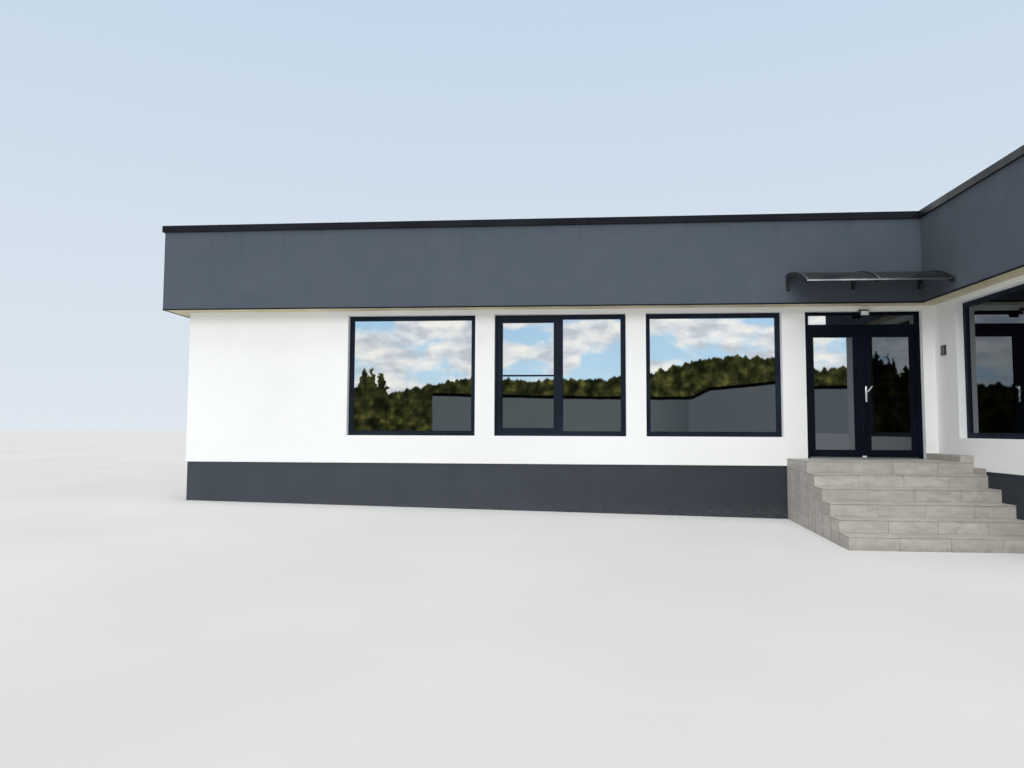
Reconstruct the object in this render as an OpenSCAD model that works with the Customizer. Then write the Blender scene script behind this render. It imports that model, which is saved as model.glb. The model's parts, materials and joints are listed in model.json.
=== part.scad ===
// Single-storey house with a flat roof behind a dark fascia, in an L-shaped plan.
// X runs to the right along the main front, Y runs into the house, Z is up from the lowest ground.
// All sizes are millimetres.

/* [Plan] */
// Length of the main front wall, from the free corner to the wing
main_len = 12170; // [11000:10:16000]
// Depth of the main block from front face to back face
main_depth = 8000; // [6500:50:12000]
// Width of the wing from side face to side face
wing_w = 6000; // [5400:50:9000]
// How far the wing stands out in front of the main front wall
wing_len = 3375; // [3200:5:5000]

/* [Walls] */
// Thickness of the rendered walls
wall_t = 400; // [300:10:500]
// Height of the dark plinth above the lowest ground
plinth_h = 922; // [700:1:1000]
// How far the plinth stands back behind the wall above it
plinth_recess = 20; // [5:1:40]
// Width of the ledge inside the plinth that carries the floor
floor_ledge = 100; // [60:10:200]
// Height of the soffit above the lowest ground
soffit_z = 3445; // [3420:1:4000]

/* [Floor and roof] */
// Thickness of the floor slab
floor_t = 220; // [150:10:300]
// Thickness of the roof slab
roof_t = 250; // [180:10:350]
// How far the fascia stands out past the walls
overhang = 312; // [200:2:450]
// Thickness of the parapet behind the fascia
parapet_t = 200; // [120:10:260]
// Height of the dark fascia from the soffit to the coping
fascia_h = 1306; // [900:1:1700]
// Height of the coping's outer face
coping_h = 106; // [80:1:160]
// How far the coping stands out past the fascia, on each side of the parapet
coping_lip = 35; // [15:1:60]
// Thickness of the coping above the parapet
coping_t = 30; // [15:1:50]

/* [Windows] */
// Width of each window opening
window_w = 2145; // [1800:5:2200]
// Width of the wall between two front windows
window_pier = 319; // [200:1:500]
// Width of the wall between the last front window and the door
door_pier = 364; // [250:1:600]
// Height of the window sills above the lowest ground
window_z = 1366; // [1200:1:1600]
// Height of the window heads above the lowest ground
head_z = 3365; // [3250:1:3400]
// How far the window frames stand back from the wall face
window_reveal = 108; // [60:2:150]
// Face width of the window frame bars
frame_w = 67; // [50:1:90]
// Depth of the window frame bars
frame_d = 80; // [60:5:100]
// Thickness of the glazing
glass_t = 24; // [16:1:40]
// Face width of the bar between the opening sash and the fixed pane
mullion_w = 80; // [60:1:100]
// Face width of the sash bars that show inside the frame
sash_w = 50; // [40:1:70]
// How far the sash stands proud of its frame
sash_proud = 8; // [2:1:15]
// Height of the fly screen's middle bar above the window sill
screen_bar_z = 983; // [600:1:1400]
// Face width of the fly screen's bars
screen_bar_w = 22; // [15:1:40]
// Thickness of the fly screen
screen_t = 10; // [6:1:16]
// How far the fly screen laps over the sash around its glass
screen_lap = 30; // [10:1:45]
// Distance from the inner corner to the wing window
wing_window_gap = 623; // [500:1:700]

/* [Entrance door] */
// Width of the door opening
door_w = 1790; // [1600:10:2000]
// Width of the wall between the door and the wing
corner_pier = 183; // [100:1:400]
// How far the door frame stands back from the wall face
door_reveal = 90; // [60:5:150]
// Face width of the door jambs
jamb_w = 70; // [55:1:90]
// Face height of the door head bar
head_bar_h = 48; // [40:1:80]
// Height of the fixed light over the door
transom_light_h = 163; // [100:1:300]
// Face height of the bar between the door and the fixed light
transom_bar_h = 102; // [70:1:130]
// Depth of the door frame
door_frame_d = 80; // [70:1:100]
// How far the frame laps over the outside edge of each leaf
stop_lap = 18; // [12:1:25]
// Depth of the lap in front of the leaves
stop_d = 12; // [8:1:20]
// Thickness of each leaf
leaf_t = 56; // [40:1:60]
// Face width of the leaf stiles and top rail
leaf_bar = 93; // [75:1:115]
// Face width of the two stiles that meet in the middle
meeting_stile = 111; // [90:1:130]
// Face height of the leaf bottom rail
bottom_rail = 98; // [80:1:160]
// Gap between the frame and each leaf
leaf_gap = 6; // [5:1:8]
// Gap between the two leaves
meeting_gap = 10; // [9:1:14]
// Number of hinges on each leaf
hinges = 3; // [2:1:4]
// Outer radius of the hinge knuckles
knuckle_r = 10; // [8:1:11]
// Radius of the hinge pins
pin_r = 6; // [4:0.5:6]
// Running clearance in the hinges
hinge_play = 0.3; // [0.2:0.05:0.4]
// Height of each hinge knuckle
knuckle_h = 45; // [30:1:60]
// Distance from the back of the frame to the hinge axis
hinge_back = 16; // [15:1:20]
// Distance from the leaf ends to the outer hinges
hinge_end = 160; // [120:5:300]
// Height of the threshold above the landing
threshold_h = 20; // [10:1:30]

/* [Door handle] */
// Height of the handle plate above the landing
handle_z = 1019; // [850:1:1150]
// Height of the handle plate
plate_h = 250; // [180:5:280]
// Width of the handle plate
plate_w = 30; // [24:1:40]
// Thickness of the handle plate
plate_t = 8; // [5:1:12]
// Length of the lever
lever_len = 118; // [90:1:150]
// Angle of the lever above level
lever_tilt = 50; // [0:5:70]
// Diameter of the lever
lever_d = 18; // [14:1:22]
// Distance from the leaf face to the lever's centre line
lever_out = 48; // [35:1:60]

/* [Steps] */
// Number of risers up to the landing
risers = 6; // [6:1:7]
// Height of each riser
riser_h = 172; // [165:1:180]
// Going of each step
tread_d = 302; // [280:1:340]
// Depth of the landing in front of the wall
landing_d = 980; // [800:10:1400]
// How far the steps run past the door opening on the free side
landing_side = 326; // [200:1:600]
// Thickness of the stone tiles
tile_t = 12; // [8:1:20]
// Height of the tile skirting along the walls at the landing
skirting_h = 93; // [60:5:120]

/* [Canopy] */
// Length of the canopy along the wall
canopy_len = 2010; // [1200:1:2400]
// Gap between the canopy and the wing fascia
canopy_gap = 25; // [5:1:100]
// How far the canopy stands out from the fascia
canopy_out = 985; // [600:5:1200]
// Drop of the canopy from the wall to the front rail
canopy_drop = 273; // [150:1:400]
// Height of the back edge of the canopy above the soffit
canopy_rise = 430; // [400:5:900]
// Thickness of the canopy sheet
canopy_sheet_t = 6; // [4:1:12]
// Width of the aluminium ribs over the sheet
canopy_rib_w = 28; // [15:1:40]
// Height of the aluminium ribs
canopy_rib_h = 14; // [8:1:25]
// Face height of the front rail
canopy_rail_h = 18; // [14:1:40]
// Thickness of the canopy brackets
bracket_t = 40; // [20:1:60]
// Face width of the bracket arms and feet
bracket_w = 46; // [30:1:70]
// Height of the bracket foot on the fascia
bracket_h = 229; // [200:1:320]
// Radius of the hollow between each bracket's foot and arm
bracket_hollow = 110; // [60:1:140]

/* [Small fittings] */
// Width of the floodlight over the door
light_w = 138; // [90:1:200]
// Height of the floodlight
light_h = 88; // [60:1:110]
// Thickness of the floodlight's case
light_t = 30; // [20:1:45]
// How far the floodlight's middle stands out from the wall
light_out = 66; // [50:1:90]
// Angle by which the floodlight looks down
light_tilt = 25; // [0:5:60]
// Height of the floodlight's middle above the door head
light_rise = -38; // [-60:1:60]
// Thickness of the floodlight's stirrup
stirrup_t = 4; // [2:1:8]
// Width of the stirrup's straps
stirrup_w = 24; // [12:1:30]
// Height of the bell plate's centre above the landing
bell_z = 1672; // [1500:1:1900]
// Distance from the inner corner to the bell plate
bell_gap = 272; // [160:1:400]
// Width of the bell plate
bell_w = 130; // [80:1:160]
// Height of the bell plate
bell_h = 150; // [80:5:200]
// Thickness of the bell plate
bell_t = 28; // [8:1:40]

/* [Hidden] */
$fn = 48;
over = 10; // overrun of every cut
total_len = main_len + wing_w;
landing_z = risers * riser_h;
coping_z = soffit_z + fascia_h;
top_z = coping_z + coping_h;
window_h = head_z - window_z;
front_windows = 3;
door_x = main_len - corner_pier - door_w;
door_head_z = head_z;

// The house stands on the origin: middle of its outline, at the lowest ground
centre_x = total_len / 2;
centre_y = (main_depth - wing_len) / 2;

// The six outer walls are numbered anticlockwise from the main front
WALL_NAMES = ["main front", "wing side", "wing front", "right", "back", "left"];
FRONT_BACK = [0, 2, 4];
SIDES = [1, 3, 5];

function is_main_front(i) = WALL_NAMES[i] == "main front";

// Corners of the outline, moved out by d from the wall faces
function ring(d) = [
    [-d, -d],
    [main_len - d, -d],
    [main_len - d, -wing_len - d],
    [total_len + d, -wing_len - d],
    [total_len + d, main_depth + d],
    [-d, main_depth + d]
];

// Plan of one wall, mitred at both ends, from d_out outside the face to d_in inside it
function run_plan(i, d_out, d_in) = [
    ring(d_out)[i], ring(d_out)[(i + 1) % 6], ring(-d_in)[(i + 1) % 6], ring(-d_in)[i]
];

// Starts of n windows spread evenly over a wall, from its left end seen from outside
function even_starts(n, wall_len) =
    let (gap = (wall_len - n * window_w) / (n + 1))
    [for (k = [0 : n - 1]) gap + k * (window_w + gap)];

// Starts of the windows in each wall, from its left end seen from outside
window_starts = [
    [for (k = [0 : front_windows - 1]) door_x - door_pier - window_w - k * (window_w + window_pier)],
    [wing_window_gap],
    even_starts(2, wing_w),
    even_starts(4, main_depth + wing_len),
    even_starts(6, total_len),
    even_starts(2, main_depth)
];

// Every second window has an opening light beside its fixed pane
function has_sash(k) = k % 2 == 1;

module place() {
    translate([-centre_x, -centre_y, 0]) children();
}

// A wall-like solid along wall i, from z0 to z1
module run(i, d_out, d_in, z0, z1) {
    translate([0, 0, z0]) linear_extrude(z1 - z0) polygon(run_plan(i, d_out, d_in));
}

// Turns wall i's own frame into place: X along the wall from its left end, Y into the wall
module on_wall(i, s) {
    start = ring(0)[i];
    along = ring(0)[(i + 1) % 6] - start;
    translate([start.x, start.y, window_z]) rotate([0, 0, atan2(along.y, along.x)])
        translate([s, 0, 0]) children();
}

// Draws its child once in every window opening of every wall
module all_windows(only_sashed = false) {
    for (i = [0 : 5])
        for (k = [0 : len(window_starts[i]) - 1])
            if (!only_sashed || has_sash(k))
                on_wall(i, window_starts[i][k]) children();
}

// Walls and floors

module plinth(i) {
    run(i, -plinth_recess, wall_t, 0, plinth_h);
    run(i, -wall_t, wall_t + floor_ledge, 0, landing_z - floor_t);
}

module plinths(walls) {
    color("#464a52") place() for (i = walls) plinth(i);
}

module sill_wall(i) {
    difference() {
        run(i, 0, wall_t, plinth_h, window_z);
        if (is_main_front(i))
            translate([door_x, -over, plinth_h - over])
                cube([main_len - door_x + wall_t + over, wall_t + 2 * over, window_z - plinth_h + 2 * over]);
    }
}

module sill_walls(walls) {
    color("#f2f1ee") place() for (i = walls) sill_wall(i);
}

// Posts left between the openings; the post beside the door starts at the plinth
module piers_of(i) {
    difference() {
        union() {
            run(i, 0, wall_t, window_z, head_z);
            if (is_main_front(i))
                intersection() {
                    run(i, 0, wall_t, plinth_h, head_z);
                    translate([door_x + door_w, -over, 0])
                        cube([corner_pier + wall_t + over, wall_t + 2 * over, head_z]);
                }
        }
        for (s = window_starts[i])
            on_wall(i, s) translate([0, -over, -over]) cube([window_w, wall_t + 2 * over, window_h + 2 * over]);
        if (is_main_front(i))
            translate([door_x, -over, 0]) cube([door_w, wall_t + 2 * over, head_z + over]);
    }
}

module piers(walls) {
    color("#f2f1ee") place() for (i = walls) piers_of(i);
}

module lintels(walls) {
    color("#f2f1ee") place() for (i = walls) run(i, 0, wall_t, head_z, soffit_z);
}

module doorway_base() {
    color("#b5afa8") place()
        translate([door_x, 0, plinth_h]) cube([door_w, wall_t, landing_z - plinth_h]);
}

module floor_plate(x0, x1, y0, y1) {
    translate([x0, y0, landing_z - floor_t]) cube([x1 - x0, y1 - y0, floor_t]);
}

module main_floor() {
    color("#c9c5be") place() floor_plate(wall_t, total_len - wall_t, wall_t, main_depth - wall_t);
}

module wing_floor() {
    color("#c9c5be") place() floor_plate(main_len + wall_t, total_len - wall_t, wall_t - wing_len, wall_t);
}

// Roof

slab_out = overhang - parapet_t;

module roof_plate(x0, x1, y0, y1) {
    translate([x0, y0, soffit_z]) cube([x1 - x0, y1 - y0, roof_t]);
}

module main_roof_slab() {
    color("#8d8f91") place()
        roof_plate(-slab_out, total_len + slab_out, -slab_out, main_depth + slab_out);
}

module wing_roof_slab() {
    color("#8d8f91") place()
        roof_plate(main_len - slab_out, total_len + slab_out, -wing_len - slab_out, -slab_out);
}

module parapets(walls) {
    color("#545a62") place() for (i = walls) run(i, overhang, -slab_out, soffit_z, top_z - coping_t);
}

// Folded cap: a top plate with a drop on both sides of the parapet
module coping(i) {
    difference() {
        run(i, overhang + coping_lip, coping_lip - slab_out, coping_z, top_z);
        run(i, overhang, -slab_out, coping_z - over, top_z - coping_t);
    }
}

module copings(walls) {
    color("#33363f") place() for (i = walls) coping(i);
}

// Windows, drawn from the lower left outer corner of the opening

mullion_x = (window_w - mullion_w) / 2;
sash_light_w = mullion_x - frame_w;

module bar(x, z, w, h, d, y = window_reveal) {
    translate([x, y, z]) cube([w, d, h]);
}

module window_rails() {
    color("#262c36") place() all_windows() {
        bar(0, 0, window_w, frame_w, frame_d);
        bar(0, window_h - frame_w, window_w, frame_w, frame_d);
    }
}

module window_stiles() {
    color("#262c36") place() {
        all_windows() {
            bar(0, frame_w, frame_w, window_h - 2 * frame_w, frame_d);
            bar(window_w - frame_w, frame_w, frame_w, window_h - 2 * frame_w, frame_d);
        }
        all_windows(only_sashed = true)
            bar(mullion_x, frame_w, mullion_w, window_h - 2 * frame_w, frame_d);
    }
}

glass_y = window_reveal + (frame_d - glass_t) / 2;
pane_h = window_h - 2 * frame_w;

module window_glass() {
    color("#5b6b78") place() {
        for (i = [0 : 5])
            for (k = [0 : len(window_starts[i]) - 1])
                on_wall(i, window_starts[i][k])
                    if (has_sash(k)) {
                        bar(frame_w + sash_w, frame_w + sash_w, sash_light_w - 2 * sash_w,
                            pane_h - 2 * sash_w, glass_t, glass_y);
                        bar(mullion_x + mullion_w, frame_w, window_w - frame_w - mullion_x - mullion_w,
                            pane_h, glass_t, glass_y);
                    }
                    else bar(frame_w, frame_w, window_w - 2 * frame_w, pane_h, glass_t, glass_y);
    }
}

module window_sashes() {
    color("#262c36") place() all_windows(only_sashed = true)
        difference() {
            bar(frame_w, frame_w, sash_light_w, pane_h, frame_d + sash_proud, window_reveal - sash_proud);
            translate([frame_w + sash_w, window_reveal - sash_proud - over, frame_w + sash_w])
                cube([sash_light_w - 2 * sash_w, frame_d + sash_proud + 2 * over, pane_h - 2 * sash_w]);
        }
}

// Fly screen frame with a middle bar, on the face of the sash
module fly_screen() {
    edge = frame_w + sash_w - screen_lap;
    screen_w = sash_light_w - 2 * (sash_w - screen_lap);
    screen_h = pane_h - 2 * (sash_w - screen_lap);
    screen_y = window_reveal - sash_proud - screen_t;
    difference() {
        bar(edge, edge, screen_w, screen_h, screen_t, screen_y);
        translate([edge + screen_bar_w, screen_y - over, edge + screen_bar_w])
            cube([screen_w - 2 * screen_bar_w, screen_t + 2 * over, screen_h - 2 * screen_bar_w]);
    }
    bar(edge, screen_bar_z, screen_w, screen_bar_w, screen_t, screen_y);
}

module fly_screens() {
    color("#262c36") place() all_windows(only_sashed = true) fly_screen();
}

// Entrance door. The leaves open inwards behind the lap of the frame

leaf_y = door_reveal + stop_d + leaf_gap;
leaf_back_y = leaf_y + leaf_t;
leaf_z = landing_z + threshold_h + leaf_gap;
transom_z = door_head_z - head_bar_h - transom_light_h - transom_bar_h;
leaf_top_z = transom_z + stop_lap - leaf_gap;
leaf_h = leaf_top_z - leaf_z;
door_mid_x = door_x + door_w / 2;
leaf_x = door_x + jamb_w - stop_lap + leaf_gap;
leaf_w = door_mid_x - meeting_gap / 2 - leaf_x;

// Jamb in plan: full face in front, set back behind it to take the leaf
module jamb() {
    linear_extrude(door_head_z - landing_z)
        polygon([
            [0, 0], [jamb_w, 0], [jamb_w, stop_d], [jamb_w - stop_lap, stop_d],
            [jamb_w - stop_lap, door_frame_d], [0, door_frame_d]
        ]);
}

module door_jambs() {
    color("#262c36") place() translate([door_mid_x, door_reveal, landing_z])
        for (side = [0, 1]) mirror([side, 0, 0]) translate([-door_w / 2, 0, 0]) jamb();
}

module between_jambs(z, h, y, d, w = door_w - 2 * jamb_w) {
    translate([door_mid_x - w / 2, y, z]) cube([w, d, h]);
}

module door_head_bars() {
    color("#262c36") place() {
        between_jambs(door_head_z - head_bar_h, head_bar_h, door_reveal, door_frame_d);
        between_jambs(transom_z, transom_bar_h, door_reveal, stop_d);
        between_jambs(transom_z + stop_lap, transom_bar_h - stop_lap, door_reveal + stop_d,
            door_frame_d - stop_d);
    }
}

module door_threshold() {
    color("#9a9ea3") place()
        between_jambs(landing_z, threshold_h, door_reveal, door_frame_d);
}

module transom_glass() {
    color("#5b6b78") place()
        between_jambs(transom_z + transom_bar_h, transom_light_h, door_reveal + stop_d, glass_t);
}

// One leaf, drawn with its hinge edge at x = 0
module leaf() {
    difference() {
        cube([leaf_w, leaf_t, leaf_h]);
        translate([leaf_bar, -over, bottom_rail])
            cube([leaf_w - leaf_bar - meeting_stile, leaf_t + 2 * over, leaf_h - bottom_rail - leaf_bar]);
    }
    leaf_knuckles();
}

module leaf_glass() {
    translate([leaf_bar, (leaf_t - glass_t) / 2, bottom_rail])
        cube([leaf_w - leaf_bar - meeting_stile, glass_t, leaf_h - bottom_rail - leaf_bar]);
}

module in_left_leaf() {
    place() translate([leaf_x, leaf_y, leaf_z]) children();
}

module in_right_leaf() {
    place() translate([2 * door_mid_x - leaf_x, leaf_y, leaf_z]) mirror([1, 0, 0]) children();
}

module left_door_leaf() {
    color("#262c36") in_left_leaf() leaf();
}

module left_door_glass() {
    color("#5b6b78") in_left_leaf() leaf_glass();
}

module right_door_leaf() {
    color("#262c36") in_right_leaf() leaf();
}

module right_door_glass() {
    color("#5b6b78") in_right_leaf() leaf_glass();
}

// Hinge axis in the leaf's own frame, in the middle of the gap beside the jamb
axis_x = -leaf_gap / 2;
axis_y = door_reveal + door_frame_d + hinge_back - leaf_y;
hinge_step = (leaf_h - 2 * hinge_end - knuckle_h) / (hinges - 1);

module at_hinges() {
    for (k = [0 : hinges - 1]) translate([axis_x, axis_y, hinge_end + k * hinge_step]) children();
}

// Upper knuckle of each hinge, on a block behind the leaf
module leaf_knuckles() {
    at_hinges() difference() {
        union() {
            cylinder(h = knuckle_h, r = knuckle_r);
            translate([leaf_gap, leaf_t - axis_y, 0]) cube([3 * knuckle_r, axis_y - leaf_t, knuckle_h]);
        }
        translate([0, 0, -over]) cylinder(h = knuckle_h + 2 * over, r = pin_r + hinge_play);
    }
}

// Lower knuckle of each hinge, on a block behind the jamb, with the pin that the leaf turns on
module frame_knuckles() {
    at_hinges() {
        translate([0, 0, -hinge_play - knuckle_h]) {
            cylinder(h = knuckle_h, r = knuckle_r);
            translate([-3 * knuckle_r, -hinge_back, 0])
                cube([3 * knuckle_r - leaf_gap, hinge_back, knuckle_h]);
            cylinder(h = 2 * knuckle_h + hinge_play, r = pin_r);
        }
    }
}

module door_hinges() {
    color("#262c36") {
        in_left_leaf() frame_knuckles();
        in_right_leaf() frame_knuckles();
    }
}

// Height of the lever above the middle of its plate
lever_z = plate_h / 8;
handle_x = leaf_w - meeting_stile / 2;

// Long plate with a lever, on the meeting stile of the right leaf
module door_handle() {
    color("#c8c8cc") in_right_leaf()
        translate([handle_x, 0, landing_z + handle_z - leaf_z]) {
            translate([-plate_w / 2, -plate_t, -plate_h / 2]) cube([plate_w, plate_t, plate_h]);
            translate([0, -lever_out, lever_z]) {
                rotate([-90, 0, 0]) cylinder(h = lever_out, d = lever_d);
                rotate([0, lever_tilt - 90, 0]) cylinder(h = lever_len, d = lever_d);
                sphere(d = lever_d);
            }
        }
}

// Entrance steps, each a block from the ground up

steps_x = door_x - landing_side;
steps_w = main_len - steps_x;

// Block from the ground up, which runs on to the wing's recessed plinth as high as that goes
module stair_block(front_y, depth, top_z) {
    translate([steps_x, front_y, 0]) {
        cube([steps_w, depth, top_z]);
        cube([steps_w + plinth_recess, depth, min(top_z, plinth_h)]);
    }
}

module landing() {
    color("#b5afa8") place() stair_block(-landing_d, landing_d, landing_z);
}

module step(k) {
    color("#b5afa8") place() stair_block(-landing_d - k * tread_d, tread_d, landing_z - k * riser_h);
}

// Tile skirting beside the door and along the wing, at the landing and at the first step below it
module landing_skirting() {
    color("#b5afa8") place() {
        translate([main_len - tile_t, -landing_d, landing_z]) cube([tile_t, landing_d, skirting_h]);
        translate([door_x + door_w, -tile_t, landing_z]) cube([corner_pier - tile_t, tile_t, skirting_h]);
        translate([main_len - tile_t, -landing_d - tread_d, landing_z - riser_h])
            cube([tile_t, tread_d, skirting_h]);
    }
}

// Canopy: an arched sheet between ribs, carried by brackets on the fascia

canopy_x = main_len - overhang - canopy_gap - canopy_len;
canopy_back_z = soffit_z + canopy_rise;
// Radius of the arc that leaves the wall level and falls by the drop at the front
canopy_r = (canopy_out * canopy_out + canopy_drop * canopy_drop) / (2 * canopy_drop);
canopy_angle = asin(canopy_out / canopy_r);

// Distance from the fascia to the front end of the sheet
canopy_end = (canopy_r + canopy_sheet_t) * sin(canopy_angle);

// Slice of a tube of inner radius r_in along X, from straight up at the fascia to the angle at the front
module canopy_arc(x, w, r_in, t, angle = canopy_angle) {
    translate([x, -overhang, canopy_back_z - canopy_r]) rotate([0, -90, 180]) intersection() {
        difference() {
            cylinder(h = w, r = r_in + t, $fn = 180);
            translate([0, 0, -over]) cylinder(h = w + 2 * over, r = r_in, $fn = 180);
        }
        translate([0, 0, -over]) linear_extrude(w + 2 * over)
            polygon([[0, 0], [2 * canopy_r, 0], [2 * canopy_r * cos(angle), 2 * canopy_r * sin(angle)]]);
    }
}

module canopy_sheet() {
    color("#55585c") place() canopy_arc(canopy_x, canopy_len, canopy_r, canopy_sheet_t);
}

rib_step = (canopy_len - canopy_rib_w) / 2;
rib_angle = asin(canopy_end / (canopy_r + canopy_sheet_t + canopy_rib_h));

module canopy_ribs() {
    color("#c8c8cc") place() for (k = [0 : 2])
        canopy_arc(canopy_x + k * rib_step, canopy_rib_w, canopy_r + canopy_sheet_t, canopy_rib_h, rib_angle);
}

module canopy_front_rail() {
    color("#c8c8cc") place()
        translate([canopy_x, -overhang - canopy_end - canopy_rib_h, canopy_back_z - canopy_drop - canopy_rail_h / 2])
            cube([canopy_len, canopy_rib_h, canopy_rail_h]);
}

// Arm bent to the sheet's curve, on a foot that stands against the fascia
module canopy_bracket() {
    knee_z = canopy_back_z - bracket_w - bracket_hollow;
    knee_top = bracket_hollow + bracket_w / 2;
    canopy_arc(0, bracket_t, canopy_r - bracket_w, bracket_w);
    translate([0, -overhang - bracket_w, canopy_back_z - bracket_h])
        cube([bracket_t, bracket_w, bracket_h - bracket_w]);
    difference() {
        translate([0, -overhang - bracket_w - bracket_hollow, knee_z])
            cube([bracket_t, bracket_hollow + bracket_w / 2, knee_top]);
        translate([-over, -overhang - bracket_w - bracket_hollow, knee_z])
            rotate([0, 90, 0]) cylinder(h = bracket_t + 2 * over, r = bracket_hollow, $fn = 96);
    }
}

module canopy_brackets() {
    bracket_step = (canopy_len - bracket_t) / 2;
    color("#1d1f22") place() for (k = [0 : 2])
        translate([canopy_x + k * bracket_step, 0, 0]) canopy_bracket();
}

// Small fittings

// Flat floodlight in a stirrup that is screwed to the wall over the door
module entrance_light() {
    strap_w = light_w + stirrup_t;
    color("#262c36") place() translate([door_mid_x, 0, door_head_z]) {
        translate([0, -light_out, light_rise]) rotate([light_tilt, 0, 0])
            translate([-light_w / 2, -light_t / 2, -light_h / 2]) cube([light_w, light_t, light_h]);
        translate([-strap_w / 2, -stirrup_t, 0]) cube([strap_w, stirrup_t, stirrup_w]);
        for (side = [-1, 1])
            translate([side * light_w / 2 - stirrup_t / 2, 0, 0])
                rotate([0, -90, 180]) linear_extrude(stirrup_t)
                    polygon([[0, 0], [stirrup_w, 0], [light_rise + stirrup_w / 2, light_out],
                        [light_rise - stirrup_w / 2, light_out]]);
    }
}

module bell_plate() {
    color("#4a4d52") place()
        translate([main_len - bell_t, -bell_gap - bell_w / 2, landing_z + bell_z - bell_h / 2])
            cube([bell_t, bell_w, bell_h]);
}

plinths(FRONT_BACK);  // front_back_plinths
plinths(SIDES);  // side_plinths
main_floor();
wing_floor();
sill_walls(FRONT_BACK);  // front_back_sill_walls
sill_walls(SIDES);  // side_sill_walls
piers(FRONT_BACK);  // front_back_piers
piers(SIDES);  // side_piers
lintels(FRONT_BACK);  // front_back_lintels
lintels(SIDES);  // side_lintels
doorway_base();
main_roof_slab();
wing_roof_slab();
parapets(FRONT_BACK);  // front_back_parapets
parapets(SIDES);  // side_parapets
copings(FRONT_BACK);  // front_back_copings
copings(SIDES);  // side_copings
window_rails();
window_stiles();
window_glass();
window_sashes();
fly_screens();
door_jambs();
door_head_bars();
door_threshold();
transom_glass();
door_hinges();
left_door_leaf();
left_door_glass();
right_door_leaf();
right_door_glass();
door_handle();
landing();
step(1);  // step_1
step(2);  // step_2
step(3);  // step_3
step(4);  // step_4
step(5);  // step_5
landing_skirting();
canopy_sheet();
canopy_ribs();
canopy_front_rail();
canopy_brackets();
entrance_light();
bell_plate();
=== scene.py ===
import json
import math

import bmesh
import bpy
from mathutils import Euler, Matrix, Vector

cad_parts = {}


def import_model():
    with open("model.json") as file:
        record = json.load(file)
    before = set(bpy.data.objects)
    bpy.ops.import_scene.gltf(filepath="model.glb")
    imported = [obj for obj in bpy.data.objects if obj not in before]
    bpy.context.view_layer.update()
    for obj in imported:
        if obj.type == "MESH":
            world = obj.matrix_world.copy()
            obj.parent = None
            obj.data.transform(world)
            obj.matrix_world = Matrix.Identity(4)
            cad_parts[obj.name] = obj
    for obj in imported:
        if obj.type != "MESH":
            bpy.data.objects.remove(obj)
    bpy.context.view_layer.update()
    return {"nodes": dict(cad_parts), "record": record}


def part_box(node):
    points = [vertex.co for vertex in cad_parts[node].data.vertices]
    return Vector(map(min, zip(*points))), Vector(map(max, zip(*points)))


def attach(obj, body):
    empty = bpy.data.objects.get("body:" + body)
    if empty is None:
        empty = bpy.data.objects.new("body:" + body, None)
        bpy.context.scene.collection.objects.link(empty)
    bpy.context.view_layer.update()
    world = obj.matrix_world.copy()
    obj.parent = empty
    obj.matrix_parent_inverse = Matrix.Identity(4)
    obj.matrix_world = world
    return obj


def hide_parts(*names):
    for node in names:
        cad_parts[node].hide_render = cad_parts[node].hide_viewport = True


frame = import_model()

MM = 0.001
WELD = 0.05 * MM

# Places of the house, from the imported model

walls_lo, walls_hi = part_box("front_back_sill_walls")
doorway_lo, doorway_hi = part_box("doorway_base")
parapet_lo, parapet_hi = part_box("front_back_parapets")
coping_lo, coping_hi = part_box("front_back_copings")
slab_lo, slab_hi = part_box("main_roof_slab")
skirting_lo, skirting_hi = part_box("landing_skirting")
landing_lo, landing_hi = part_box("landing")

left_x = walls_lo.x
corner_x = skirting_hi.x
right_x = walls_hi.x
front_y = doorway_lo.y
wing_front_y = walls_lo.y
back_y = walls_hi.y
plinth_top = doorway_lo.z
landing_top = doorway_hi.z
soffit_z = slab_lo.z
roof_z = slab_hi.z
overhang = left_x - parapet_lo.x
slab_out = left_x - slab_lo.x
coping_out = left_x - coping_lo.x
coping_in = slab_out - (coping_out - overhang)


def outline(out):
    """Corners of the house in plan, anticlockwise, moved out by a distance from the wall faces."""
    return [
        Vector((left_x - out, front_y - out, 0)), Vector((corner_x - out, front_y - out, 0)),
        Vector((corner_x - out, wing_front_y - out, 0)), Vector((right_x + out, wing_front_y - out, 0)),
        Vector((right_x + out, back_y + out, 0)), Vector((left_x - out, back_y + out, 0)),
    ]


def corners_of(spots):
    """Lowest and highest corner round some points."""
    spots = list(spots)
    lo = Vector([min(spot[axis] for spot in spots) for axis in range(3)])
    hi = Vector([max(spot[axis] for spot in spots) for axis in range(3)])
    return lo, hi


def solids_of(node):
    """Lowest and highest corner of each separate solid of a node."""
    bm = bmesh.new()
    bm.from_mesh(frame["nodes"][node].data)
    bmesh.ops.remove_doubles(bm, verts=bm.verts, dist=WELD)
    left = set(bm.verts)
    found = []
    while left:
        reach = [left.pop()]
        spots = []
        while reach:
            vert = reach.pop()
            spots.append(vert.co.copy())
            near = {edge.other_vert(vert) for edge in vert.link_edges} & left
            left -= near
            reach.extend(near)
        found.append(corners_of(spots))
    bm.free()
    return sorted(found, key=lambda pair: tuple(pair[0]))


def outward(lo, hi):
    """Direction from a thin upright pane to the outer wall face that lies nearest to it."""
    middle = (lo + hi) / 2
    if hi.y - lo.y < hi.x - lo.x:
        face = min((front_y, wing_front_y, back_y), key=lambda y: abs(y - middle.y))
        return Vector((0, math.copysign(1, face - middle.y), 0))
    face = min((left_x, corner_x, right_x), key=lambda x: abs(x - middle.x))
    return Vector((math.copysign(1, face - middle.x), 0, 0))


# Nodes and colours

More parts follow.
